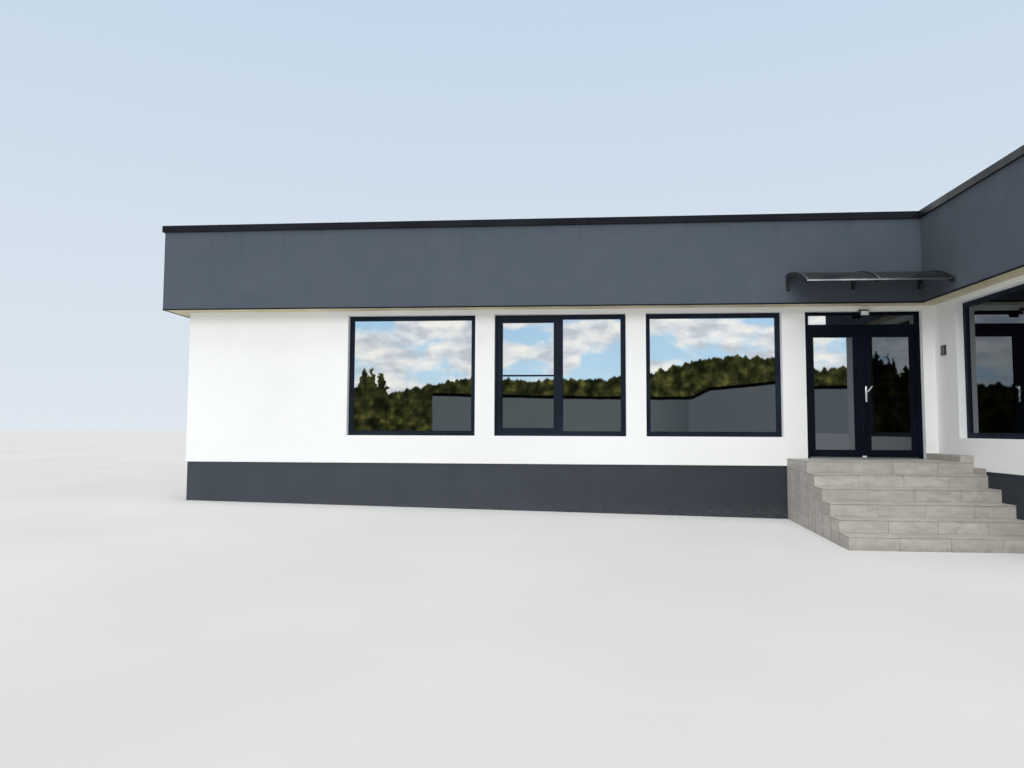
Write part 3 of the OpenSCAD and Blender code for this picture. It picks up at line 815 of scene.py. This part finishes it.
def coping_laps():
    """Cover strips over the joints between the lengths of coping."""
    outer = outline(coping_out + LAP_T)
    pairs = []
    for k, start in enumerate(outer):
        end = outer[(k + 1) % len(outer)]
        along = (end - start).normalized()
        inward = Vector((-along.y, along.x, 0))
        count = max(1, round((end - start).length / LAP_STEP))
        for number in range(count):
            middle = start.lerp(end, (number + 0.5) / count)
            near = middle - along * LAP_W / 2
            far = middle + along * LAP_W / 2 + inward * (coping_out - coping_in + 2 * LAP_T)
            near.z = coping_lo.z - LAP_T
            far.z = coping_hi.z + LAP_T
            pairs.append((near, far))
    piece("coping_laps", boxes(pairs, COATED_STEEL), [COATED_STEEL])


# Roof

MEMBRANE_T = 4 * MM
UPSTAND_H = 0.30
BAR_H = 40 * MM
BAR_T = 3 * MM
SHEET_W = 1.5
SEAM_W = 60 * MM


def roof_sheet():
    """Membrane on the roof slab, turned up against the parapet, with welded laps."""
    bm = round_house([
        (slab_out, roof_z), (slab_out, roof_z + UPSTAND_H),
        (slab_out - MEMBRANE_T, roof_z + UPSTAND_H), (slab_out - MEMBRANE_T, roof_z),
    ])
    plan_sheet(bm, slab_out, roof_z, roof_z + MEMBRANE_T)
    top = roof_z + MEMBRANE_T
    count = int((right_x - left_x) / SHEET_W)
    pairs = []
    for number in range(1, count + 1):
        x = left_x + number * SHEET_W
        nearest = wing_front_y if x > corner_x else front_y
        pairs.append((Vector((x, nearest - slab_out, top)), Vector((x + SEAM_W, back_y + slab_out, top + MEMBRANE_T))))
    bm.from_mesh(boxes(pairs, MEMBRANE))
    piece("roof_membrane", mesh_from(bm), [MEMBRANE])


def upstand_bar():
    """Aluminium bar that clamps the top of the membrane to the parapet, with its screws."""
    face = slab_out - MEMBRANE_T
    low = roof_z + UPSTAND_H - BAR_H
    profile = [(face, low), (face, low + BAR_H), (face - BAR_T, low + BAR_H), (face - BAR_T, low)]
    bm = round_house(profile)
    ring = outline(face - BAR_T)
    for k, start in enumerate(ring):
        end = ring[(k + 1) % len(ring)]
        along = (end - start).normalized()
        lift = Vector((0, 0, low + BAR_H / 2))
        inset = along * 0.1
        heads = screws([(start + inset + lift, end - inset + lift)], ALUMINIUM, 0.4, 6 * MM,
                       Vector((-along.y, along.x, 0)))
        bm.from_mesh(heads)
    piece("upstand_bar", mesh_from(bm), [ALUMINIUM])


# Stair

TILE_PITCH = 603 * MM
TILE_ROW = 300 * MM
TILE_T = 12 * MM
NOSING = 5 * MM
SETBACK = 3 * MM
# The joints are 3 mm in truth, and are drawn a little wider so that they show
JOINT = 4 * MM
TILE_LEN = TILE_PITCH - JOINT


def split(run, length):
    """Start and end of each tile over a run, the last one cut to fit."""
    count = math.ceil((run - JOINT) / (length + JOINT))
    starts = [k * (length + JOINT) for k in range(count)]
    return [(start, min(start + length, run)) for start in starts]


def tiled_block(name, node, nosing_y, seed):
    """One block of the stair: a mortar core with tiles on its top, its front and its free side."""
    lo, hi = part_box(node)
    below = max((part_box(other)[1].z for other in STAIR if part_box(other)[1].z < hi.z - WELD), default=0.0)
    bm = bmesh.new()
    core_lo = lo + Vector((TILE_T, TILE_T, 0))
    block(bm, core_lo, hi - Vector((0, 0, TILE_T - SETBACK)), finish=1)
    block(bm, lo + Vector((SETBACK, NOSING + SETBACK, 0)), hi - Vector((0, 0, TILE_T + JOINT)), finish=1)
    pairs = []
    for start, end in split(hi.x - lo.x, TILE_LEN):
        for near, far in split(hi.y - lo.y, TILE_ROW + SETBACK):
            pairs.append((
                Vector((lo.x + start, lo.y + near, hi.z - TILE_T)), Vector((lo.x + end, lo.y + far, hi.z)),
            ))
        pairs.append((
            Vector((lo.x + start, lo.y + NOSING, below)),
            Vector((lo.x + end, lo.y + NOSING + TILE_T, hi.z - TILE_T - JOINT)),
        ))
    rise = hi.z - TILE_T - JOINT
    levels = [(below + JOINT, rise)] + [
        (max(0.0, below - far), below - near) for near, far in split(below, TILE_LEN) if below > 0
    ]
    for start, end in split(hi.y - lo.y - NOSING - TILE_T, TILE_ROW):
        for low, high in levels:
            pairs.append((
                Vector((lo.x, lo.y + NOSING + TILE_T + start, low)),
                Vector((lo.x + TILE_T, lo.y + NOSING + TILE_T + end, high)),
            ))
    bm.from_mesh(boxes(pairs, TILE, seed))
    made = piece(name, mesh_from(bm), [TILE, GROUT], replaces=[node])
    return soften(made, 1.2 * MM)


STAIR = ["landing", "step_1", "step_2", "step_3", "step_4", "step_5"]


def stair():
    """The landing and the steps in their tiles."""
    for seed, node in enumerate(STAIR):
        tiled_block(node + "_tiles", node, 0.0, seed + 3)


def skirting():
    """Tile skirting, cut from the same tiles."""
    pairs = []
    for lo, hi in solids_of("landing_skirting"):
        long_axis = 0 if hi.x - lo.x > hi.y - lo.y else 1
        for start, end in split(hi[long_axis] - lo[long_axis], TILE_LEN):
            near, far = lo.copy(), hi.copy()
            near[long_axis] = lo[long_axis] + start
            far[long_axis] = lo[long_axis] + end
            pairs.append((near, far))
    made = piece("skirting_tiles", boxes(pairs, TILE, 11), [TILE],
                 replaces=["landing_skirting"])
    soften(made, 1.2 * MM)


# Windows

BEAD_R = 12 * MM
GASKET_R = 3 * MM


def rim(lo, hi, facing, inset=0.0):
    """Four corners of a thin upright pane on the side that it faces, moved in from its edge."""
    side = Vector((-facing.y, facing.x, 0))
    middle = (lo + hi) / 2
    half_w = abs((hi - lo).dot(side)) / 2 - inset
    half_h = (hi.z - lo.z) / 2 - inset
    face = middle + facing * abs((hi - lo).dot(facing)) / 2
    return [face + side * sx * half_w + Vector((0, 0, sz * half_h))
            for sx, sz in ((-1, -1), (1, -1), (1, 1), (-1, 1))]


def glazing_trim(name, panes, finish, body="house"):
    """Glazing beads with a bevel face, and the rubber line against the glass."""
    loops = [rim(lo, hi, facing * side) for lo, hi, facing in panes for side in (1, -1)]
    piece(name + "_beads", beads(loops, finish, BEAD_R, 4), [finish], body)
    inner = [rim(lo, hi, facing, BEAD_R) for lo, hi, facing in panes]
    piece(name + "_gaskets", beads(inner, RUBBER, GASKET_R), [RUBBER], body)


def panes_of(node):
    """Panes of a node, with the direction that each faces."""
    return [(lo, hi, outward(lo, hi)) for lo, hi in solids_of(node)]


SASH_PROUD = 8 * MM
# The seal is 6 mm wide in truth, and is drawn wider so that it shows: the extra width is a painted shadow of the gap
# between sash and frame
SEAL_R = 10 * MM


def sash_seals_and_gap_shadow():
    """Rubber line in the step between each opening sash and its frame, drawn wide enough to stand also as a painted
    shadow of that step.
    """
    loops = []
    for lo, hi, facing in panes_of("window_sashes"):
        loops.append([spot - facing * SASH_PROUD for spot in rim(lo, hi, facing)])
    piece("sash_seals_and_gap_shadow", beads(loops, RUBBER, SEAL_R), [RUBBER])


CAP_W = 42 * MM
CAP_H = 9 * MM
CAP_T = 5 * MM


def drain_caps():
    """Small caps over the drain slots in the bottom bar of each window."""
    pairs = []
    rails = solids_of("window_rails")
    lowest = min(lo.z for lo, hi in rails)
    for lo, hi in rails:
        if lo.z > lowest + WELD:
            continue
        facing = outward(lo, hi)
        side = Vector((-facing.y, facing.x, 0))
        middle = (lo + hi) / 2
        half = abs((hi - lo).dot(side)) / 2
        face = middle + facing * abs((hi - lo).dot(facing)) / 2
        for share in (-0.5, -0.28, 0.5):
            spot = face + side * half * share
            pairs.append((spot - side * CAP_W / 2 - Vector((0, 0, CAP_H / 2)),
                          spot + side * CAP_W / 2 + facing * CAP_T + Vector((0, 0, CAP_H / 2))))
    made = piece("window_drain_caps", boxes(pairs, BLACK_PLASTIC), [BLACK_PLASTIC])
    soften(made, 1.5 * MM)


# Entrance door

def door_trim():
    """Beads and rubbers of the two leaves and of the light over the door."""
    glazing_trim("transom", panes_of("transom_glass"), DOOR_PROFILE)
    glazing_trim("left_leaf", panes_of("left_door_glass"), DOOR_PROFILE, "left_leaf")
    glazing_trim("right_leaf", panes_of("right_door_glass"), DOOR_PROFILE, "right_leaf")


def meeting_seals():
    """Rubber lip down the free edge of each leaf."""
    for body, node, sign in (("left_leaf", "left_door_leaf", 1), ("right_leaf", "right_door_leaf", -1)):
        lo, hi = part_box(node)
        x = hi.x if sign > 0 else lo.x
        y = lo.y + 6 * MM
        line = [Vector((x, y, lo.z)), Vector((x, y, hi.z))]
        mesh = beads([line], RUBBER, GASKET_R, closed=False)
        piece(body + "_meeting_seal", mesh, [RUBBER], body)


PLATE_W = 30 * MM
PLATE_T = 8 * MM
PLATE_H = 250 * MM
LEVER_RISE = PLATE_H / 8
LEVER_OUT = 48 * MM
LEVER_LEN = 118 * MM
LEVER_TILT = math.radians(50)
LEVER_R = 9 * MM
CYLINDER_DROP = 48 * MM


def handle_side(bm, plate, facing):
    """Plate, lever and lock cylinder on one face of the leaf. plate is the middle of its back."""
    out = Vector((0, facing, 0))
    half = Vector((PLATE_W / 2, 0, PLATE_H / 2))
    block(bm, *corners_of((plate - half, plate + half + out * PLATE_T)), rounding=3.5 * MM)
    pivot = plate + Vector((0, 0, LEVER_RISE))
    disc(bm, pivot + out * PLATE_T, 13 * MM, 6 * MM, out, top=11 * MM)
    grip = Vector((math.cos(LEVER_TILT), 0, math.sin(LEVER_TILT))) * LEVER_LEN
    bar = rod([pivot, pivot + out * LEVER_OUT, pivot + out * LEVER_OUT + grip], LEVER_R, 16 * MM)
    bm.from_mesh(bar)
    keyhole = plate - Vector((0, 0, CYLINDER_DROP)) + out * PLATE_T
    disc(bm, keyhole, 8.5 * MM, 5 * MM, out, finish=0)
    block(bm, *corners_of((
        keyhole - Vector((5 * MM, 0, 24 * MM)), keyhole + Vector((5 * MM, 0, 0)) + out * 5 * MM,
    )), rounding=2 * MM)
    disc(bm, keyhole + out * 5 * MM, 5.5 * MM, 0.8 * MM, out, finish=1)
    for end in (-1, 1):
        screw = plate + Vector((0, 0, end * (PLATE_H / 2 - 14 * MM))) + out * PLATE_T
        disc(bm, screw, 4 * MM, 1.2 * MM, out, sides=16, top=3 * MM)


def handle_set():
    """Long plates with bent levers on both faces of the right leaf."""
    lo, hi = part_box("door_handle")
    leaf_lo, leaf_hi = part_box("right_door_glass")
    back_face = hi.y + 2 * (leaf_lo.y - hi.y) + (leaf_hi.y - leaf_lo.y)
    plate_z = lo.z + PLATE_H / 2
    bm = bmesh.new()
    handle_side(bm, Vector((lo.x + PLATE_W / 2, hi.y, plate_z)), -1)
    handle_side(bm, Vector((lo.x + PLATE_W / 2, back_face, plate_z)), 1)
    piece("handle_set", mesh_from(bm, 35), [STAINLESS, BLACK_PLASTIC], "right_leaf", ["door_handle"])


KEEP_SIZE = Vector((64, 18, 26)) * MM
KEEP_SINK = 2 * MM


def door_keep():
    """White plastic keep on the threshold, where the two leaves meet."""
    lo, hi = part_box("door_threshold")
    middle = Vector(((lo.x + hi.x) / 2, lo.y, hi.z))
    half = Vector((KEEP_SIZE.x / 2, 0, 0))
    bm = bmesh.new()
    foot = Vector((0, KEEP_SIZE.y, KEEP_SINK))
    block(bm, middle - half - foot, middle + half + Vector((0, 0, KEEP_SIZE.z - KEEP_SINK)), rounding=4 * MM)
    for side in (-1, 1):
        spot = middle + Vector((side * KEEP_SIZE.x / 3, -KEEP_SIZE.y / 2, KEEP_SIZE.z - KEEP_SINK))
        disc(bm, spot, 3.5 * MM, 1 * MM, (0, 0, 1), finish=1, sides=16)
    piece("door_keep", mesh_from(bm, 40), [PVC, STAINLESS])


# Small fittings

LAMP_TILT = math.radians(25)
LAMP_SIZE = Vector((138, 30, 88)) * MM
LAMP_OUT = 66 * MM
STRAP_T = 4 * MM
STRAP_W = 24 * MM
FIN_T = 2.5 * MM


def floodlight():
    """Flat floodlight with a frosted lens and cooling fins, in a bent stirrup."""
    lo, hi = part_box("entrance_light")
    head_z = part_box("door_jambs")[1].z
    middle_x = (lo.x + hi.x) / 2
    stirrup_top = hi.z
    centre = Vector((middle_x, front_y - LAMP_OUT, head_z - 38 * MM))
    turn = Matrix.Translation(centre) @ Matrix.Rotation(LAMP_TILT, 4, "X")
    half = LAMP_SIZE / 2
    bm = bmesh.new()
    body_back = Vector((0, 8 * MM, 0))
    block(bm, -half, half - body_back, finish=0, rounding=5 * MM, turn=turn)
    edge = 10 * MM
    lens_lo = Vector((edge - half.x, -half.y - 1.5 * MM, edge - half.z))
    lens_hi = Vector((half.x - edge, -half.y + 3 * MM, half.z - edge))
    block(bm, lens_lo, lens_hi, finish=1, rounding=1.2 * MM, turn=turn)
    fins = 9
    for k in range(fins):
        x = (k / (fins - 1) - 0.5) * (LAMP_SIZE.x - 4 * edge)
        block(bm, (x - FIN_T / 2, 0, edge - half.z), (x + FIN_T / 2, half.y, half.z - edge), turn=turn)
    for side in (-1, 1):
        x = middle_x + side * (half.x + STRAP_T / 2)
        reach = centre - Vector((middle_x, front_y, stirrup_top - STRAP_W / 2))
        arm = Matrix.Translation((x, front_y, stirrup_top - STRAP_W / 2))
        length = math.hypot(reach.y, reach.z)
        drop = Matrix.Rotation(math.atan2(reach.z, -reach.y) * -1, 4, "X")
        block(bm, (-STRAP_T / 2, -length - STRAP_W / 3, -STRAP_W / 2), (STRAP_T / 2, 0, STRAP_W / 2),
              rounding=1.5 * MM, turn=arm @ drop)
        disc(bm, Vector((x + side * STRAP_T / 2, centre.y, centre.z)), 7 * MM, 5 * MM, (side, 0, 0),
             finish=2, sides=6)
    block(bm, (middle_x - half.x - STRAP_T, front_y - STRAP_T, stirrup_top - STRAP_W),
          (middle_x + half.x + STRAP_T, front_y, stirrup_top), rounding=1.5 * MM)
    for side in (-1, 1):
        spot = Vector((middle_x + side * half.x / 2, front_y - STRAP_T, stirrup_top - STRAP_W / 2))
        disc(bm, spot, 5 * MM, 3 * MM, (0, -1, 0), finish=2, sides=16, top=3 * MM)
    piece("floodlight", mesh_from(bm, 35), [BLACK_PLASTIC, LENS, STAINLESS],
          replaces=["entrance_light"])


def bell_unit():
    """Door bell: a rounded black case with a grey panel, a speaker grille and a push button."""
    lo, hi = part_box("bell_plate")
    face = lo.x
    middle_y = (lo.y + hi.y) / 2
    bm = bmesh.new()
    block(bm, lo + Vector((5 * MM, 0, 0)), hi, rounding=6 * MM)
    rim_w = 26 * MM
    block(bm, (face + 2 * MM, lo.y + rim_w, lo.z + rim_w / 2), (face + 8 * MM, hi.y - rim_w, hi.z - rim_w / 2),
          finish=1, rounding=2 * MM)
    button = Vector((face + 2 * MM, middle_y, lo.z + 48 * MM))
    disc(bm, button, 18 * MM, 1.5 * MM, (-1, 0, 0), finish=1)
    disc(bm, button, 14 * MM, 2 * MM, (-1, 0, 0), finish=0, top=13 * MM)
    for row in range(6):
        z = hi.z - 30 * MM - row * 7 * MM
        block(bm, (face + 1.5 * MM, middle_y - 22 * MM, z), (face + 3 * MM, middle_y + 22 * MM, z + 2.5 * MM),
              finish=0)
    piece("bell_unit", mesh_from(bm, 35), [BLACK_PLASTIC, ALUMINIUM],
          replaces=["bell_plate"])


FOOT_DEPTH = 46 * MM
FOOT_SCREW_DROP = 192 * MM


def canopy_fixings():
    """Screws through the ribs and screws in the bracket feet."""
    rib_lo, rib_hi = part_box("canopy_ribs")
    sheet_lo, sheet_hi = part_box("canopy_sheet")
    drop = sheet_hi.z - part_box("canopy_front_rail")[0].z
    reach = sheet_hi.y - sheet_lo.y
    radius = (reach ** 2 + drop ** 2) / (2 * drop)
    heads = bmesh.new()
    for lo, hi in solids_of("canopy_ribs"):
        x = (lo.x + hi.x) / 2
        for share in (0.12, 0.37, 0.62, 0.87):
            angle = math.asin(share * reach / radius)
            lift = radius + (rib_hi.z - sheet_hi.z)
            spot = Vector((x, sheet_hi.y - lift * math.sin(angle), rib_hi.z - lift * (1 - math.cos(angle))))
            facing = Vector((0, -math.sin(angle), math.cos(angle)))
            disc(heads, spot - facing * 1.5 * MM, 6 * MM, 4 * MM, facing, sides=12, top=4 * MM)
    for lo, hi in solids_of("canopy_brackets"):
        x = (lo.x + hi.x) / 2
        foot = Vector((x, hi.y - FOOT_DEPTH, hi.z - FOOT_SCREW_DROP))
        disc(heads, foot, 7 * MM, 4 * MM, (0, -1, 0), sides=6)
    piece("canopy_screws", mesh_from(heads, 30), [STAINLESS])


# Camera, light and floor

CAMERA_AT = Vector((-2.6256, -14.0625, 1.4652))
CAMERA_YAW = math.radians(4.5886)
CAMERA_PITCH = math.radians(93.6326)
CAMERA_ROLL = math.radians(0.2071)
CAMERA_LENS = 25.368
BACKDROP = "#dfe7ef"
BACKDROP_HIGH = "#c6d8ea"
AMBIENT = 0.65
SKY_GLARE = 6.4
GROUND_GLARE = 1.33
# Outlines that the glass mirrors: bearings in degrees from the front, and sines of heights over the horizon
TALLEST = 0.125
SKYLINE = [(-40, 0.05), (-30, 0.054), (-26, 0.056), (-18, 0.045), (-13.9, 0.05), (-12.4, 0.056),
         (-11.4, 0.06), (-9.5, 0.066), (-7.8, 0.073), (-5.2, 0.07), (-4, 0.07), (-3.1, 0.066), (-1.8, 0.069),
         (-0.4, 0.0715), (0.7, 0.0675), (1.5, 0.071), (2.9, 0.069), (3.7, 0.074),
         (4.5, 0.068), (6.4, 0.078), (9.3, 0.092), (12.3, 0.099), (15.5, 0.094), (18.5, 0.078), (21, 0.08),
         (26, 0.06), (40, 0.07)]
PEAKS = [(-26, 0), (-25.9, 0.058), (-24.6, 0.066), (-24.1, 0.08), (-23.8, 0.068), (-23.5, 0.09),
         (-23.2, 0.08), (-23, 0.094), (-22.7, 0.08), (-22.3, 0.1), (-21.9, 0.084), (-21.5, 0.092),
         (-20.5, 0.05), (-18, 0.04), (-17, 0.056), (-16.7, 0.06), (-16.5, 0.069), (-16.3, 0.083),
         (-16.1, 0.08), (-15.9, 0.071), (-15.8, 0.082), (-15.5, 0.083), (-15.4, 0.07), (-15.2, 0.055),
         (-15.1, 0.073), (-14.9, 0.078), (-14.7, 0.073), (-14.4, 0.059), (-14.3, 0.05), (-13.8, 0)]
LOW_BAND = [(-10.9, 0.05), (2.4, 0.046), (9.1, 0.045), (9.5, 0.046), (10.8, 0.057), (15.5, 0.064),
            (18.2, 0.057), (40, 0.055)]


def camera():
    """Camera where the photograph was taken from."""
    data = bpy.data.cameras.new("camera")
    data.lens = CAMERA_LENS
    data.sensor_width = 36.0
    data.clip_end = 600
    made = bpy.data.objects.new("camera", data)
    bpy.context.scene.collection.objects.link(made)
    turn = Matrix.Rotation(CAMERA_YAW, 4, "Z") @ Matrix.Rotation(CAMERA_PITCH, 4, "X")
    made.matrix_world = Matrix.Translation(CAMERA_AT) @ turn @ Matrix.Rotation(CAMERA_ROLL, 4, "Z")
    bpy.context.scene.camera = made


def skyline(tree, bearing, points):
    """Height over the horizon along the bearing, straight from point to point."""
    first, last = points[0][0], points[-1][0]
    share = fade(tree, bearing, math.radians(first), math.radians(last))
    node = add(tree, "ShaderNodeFloatCurve", {"Value": share})
    line = node.mapping.curves[0]
    places = [((degrees - first) / (last - first), sine / TALLEST) for degrees, sine in points]
    line.points[0].location = places[0]
    line.points[-1].location = places[-1]
    for place in places[1:-1]:
        line.points.new(*place)
    for point in line.points:
        point.handle_type = "VECTOR"
    node.mapping.update()
    return fade(tree, node.outputs["Value"], 0.0, 1.0, 0.0, TALLEST)


def mirrored_sky(tree, direction):
    """What the glass mirrors: a bright uneven sky over a dark skyline, with a low grey band before it."""
    x, y, height = add(tree, "ShaderNodeSeparateXYZ", {0: direction}).outputs
    ahead = add(tree, "ShaderNodeMath", {0: y, 1: -1.0}, operation="MULTIPLY").outputs[0]
    bearing = add(tree, "ShaderNodeMath", {0: x, 1: ahead}, operation="ARCTAN2").outputs[0]
    drawn = add(tree, "ShaderNodeMapping", {"Vector": direction, "Scale": (1, 1, 2.2)}).outputs["Vector"]
    blue = add(tree, "ShaderNodeMixRGB", {
        "Fac": fade(tree, height, 0.05, 0.2), "Color1": srgb("#c4d9e0"), "Color2": srgb("#a2c4da"),
    }).outputs["Color"]
    lit = drift(tree, drawn, 0.04, ("#c7c5c4", "#e4ded7", "#fdf0e0"), 0.12)
    clouds = add(tree, "ShaderNodeTexNoise", {"Vector": drawn, "Scale": 11.0, "Detail": 7.0, "Distortion": 0.3})
    sky = add(tree, "ShaderNodeMixRGB", {
        "Fac": fade(tree, clouds.outputs["Fac"], 0.42, 0.52), "Color1": blue, "Color2": lit,
    }).outputs["Color"]
    dark = drift(tree, direction, 0.012, ("#2c2f1c", "#4c4f2b", "#7a7843", "#c3b75e"), 0.2)
    dark = lay_over(tree, dark, "#17190f", fade(tree, bearing, math.radians(-17.5), math.radians(-19), 0.0, 0.75))
    unevenness = add(tree, "ShaderNodeTexNoise", {"W": bearing, "Scale": 110.0, "Detail": 5.0},
                 noise_dimensions="1D").outputs["Fac"]
    ripple = add(tree, "ShaderNodeTexNoise", {"Vector": direction, "Scale": 160.0, "Detail": 4.0}).outputs["Fac"]
    wavering = add(tree, "ShaderNodeMath", {
        0: bearing, 1: fade(tree, ripple, 0.3, 0.7, -0.004, 0.004),
    }, operation="ADD").outputs[0]
    crest = add(tree, "ShaderNodeMath", {
        0: skyline(tree, bearing, SKYLINE), 1: skyline(tree, wavering, PEAKS),
    }, operation="MAXIMUM").outputs[0]
    ragged = add(tree, "ShaderNodeMath", {0: crest, 1: fade(tree, unevenness, 0.3, 0.7, -0.003, 0.003)}, operation="ADD")
    above = add(tree, "ShaderNodeMath", {0: height, 1: ragged.outputs[0]}, operation="SUBTRACT").outputs[0]
    over = add(tree, "ShaderNodeMath", {0: height, 1: skyline(tree, bearing, LOW_BAND)}, operation="SUBTRACT")
    over = over.outputs[0]
    beside = fade(tree, bearing, math.radians(-10.9), math.radians(-10.85))
    band = add(tree, "ShaderNodeMixRGB", {
        "Fac": fade(tree, bearing, math.radians(6), math.radians(9.1)),
        "Color1": srgb("#aeb3b2"), "Color2": srgb("#8f9596"),
    }).outputs["Color"]
    band = lay_over(tree, band, "#a6abac", fade(tree, bearing, math.radians(9.1), math.radians(9.3)))
    band = lay_over(tree, band, "#101113", fade(tree, over, -0.0045, -0.0035))
    hidden = add(tree, "ShaderNodeMath", {0: fade(tree, over, 0.001, 0.0), 1: beside}, operation="MULTIPLY")
    below = add(tree, "ShaderNodeMixRGB", {
        "Fac": hidden.outputs[0], "Color1": dark, "Color2": band,
    }).outputs["Color"]
    colour = add(tree, "ShaderNodeMixRGB", {
        "Fac": fade(tree, above, -0.001, 0.001), "Color1": below, "Color2": sky,
    }).outputs["Color"]
    glare = add(tree, "ShaderNodeMath", {
        0: fade(tree, above, -0.001, 0.001, GROUND_GLARE, SKY_GLARE), 1: fade(tree, height, 0.2, 0.5, 1.0, 0.35),
    }, operation="MULTIPLY").outputs[0]
    return colour, glare


def world():
    """Even white light all round, a pale backdrop, and a pale sky with a dark skyline for what mirrors it."""
    made = bpy.data.worlds.new("studio")
    made.use_nodes = True
    bpy.context.scene.world = made
    tree = made.node_tree
    tree.nodes.clear()
    direction = add(tree, "ShaderNodeTexCoord").outputs["Generated"]
    height = add(tree, "ShaderNodeSeparateXYZ", {0: direction}).outputs["Z"]
    pale = add(tree, "ShaderNodeMixRGB", {
        "Fac": fade(tree, height, 0.0, 0.5), "Color1": srgb(BACKDROP), "Color2": srgb(BACKDROP_HIGH),
    }).outputs["Color"]
    mirrored, glare = mirrored_sky(tree, direction)
    rays = add(tree, "ShaderNodeLightPath").outputs
    even = add(tree, "ShaderNodeBackground", {"Color": srgb("#f4f6f8"), "Strength": AMBIENT})
    seen = add(tree, "ShaderNodeBackground", {"Color": pale, "Strength": 1.0})
    glossy = add(tree, "ShaderNodeBackground", {"Color": mirrored, "Strength": glare})
    light = add(tree, "ShaderNodeMixShader", {0: rays["Is Glossy Ray"], 1: even.outputs[0], 2: glossy.outputs[0]})
    direct = add(tree, "ShaderNodeMath", {
        0: rays["Is Camera Ray"], 1: rays["Is Transmission Ray"],
    }, operation="MAXIMUM")
    both = add(tree, "ShaderNodeMixShader", {0: direct.outputs[0], 1: light.outputs[0], 2: seen.outputs[0]})
    add(tree, "ShaderNodeOutputWorld", {"Surface": both.outputs[0]})


def lights():
    """A broad soft light from the front, a little to the left, and a softer one from high above."""
    for name, energy, angle, tilt, turn in (("front_light", 1.1, 30, 64, -18), ("top_light", 1.2, 40, 18, -20)):
        data = bpy.data.lights.new(name, "SUN")
        data.energy = energy
        data.angle = math.radians(angle)
        made = bpy.data.objects.new(name, data)
        bpy.context.scene.collection.objects.link(made)
        made.rotation_euler = Euler((math.radians(tilt), 0, math.radians(turn)))
        made.visible_glossy = False


GROUND_LEFT = 0.268
GROUND_ALONG = 0.0186
GROUND_FALL = 0.034
FLOOR_HALF = 40.0
FLOOR_STEP = 0.5
FLOOR_FAR = 400.0


def ground(x, y):
    """Height of the sloping ground along the house, falling to the front and to the right."""
    along = max(0.0, min(x, right_x) - left_x)
    before = min(0.0, y - front_y)
    return max(0.0, GROUND_LEFT - GROUND_ALONG * along + GROUND_FALL * before)


def floor():
    """Plain pale floor that follows the slope on which the house stands."""
    material, tree, shader = new_finish("studio_floor", {"Roughness": 1.0, "Specular IOR Level": 0.0})
    colour = drift(tree, place_on(tree), 3.0, ("#d6d6d5", "#dcdcdb"))
    tree.links.new(colour, shader.inputs["Base Color"])
    count = int(2 * FLOOR_HALF / FLOOR_STEP) + 1
    lines = [-FLOOR_FAR] + [k * FLOOR_STEP - FLOOR_HALF for k in range(count)] + [FLOOR_FAR]
    wide = len(lines)
    spots = [(x, y, ground(x, y)) for y in lines for x in lines]
    faces = [(r * wide + c, r * wide + c + 1, (r + 1) * wide + c + 1, (r + 1) * wide + c)
             for r in range(wide - 1) for c in range(wide - 1)]
    mesh = bpy.data.meshes.new("studio_floor")
    mesh.from_pydata(spots, [], faces)
    mesh.materials.append(material)
    mesh.shade_smooth()
    made = bpy.data.objects.new("studio_floor", mesh)
    bpy.context.scene.collection.objects.link(made)


camera()
world()
lights()
floor()
dress_nodes()
drip_edge()
soffit()
base_rail()
coping_laps()
roof_sheet()
upstand_bar()
stair()
skirting()
glazing_trim("window", panes_of("window_glass"), PROFILE)
sash_seals_and_gap_shadow()
drain_caps()
door_trim()
meeting_seals()
handle_set()
door_keep()
floodlight()
bell_unit()
canopy_fixings()

bpy.context.scene.view_settings.view_transform = "Standard"
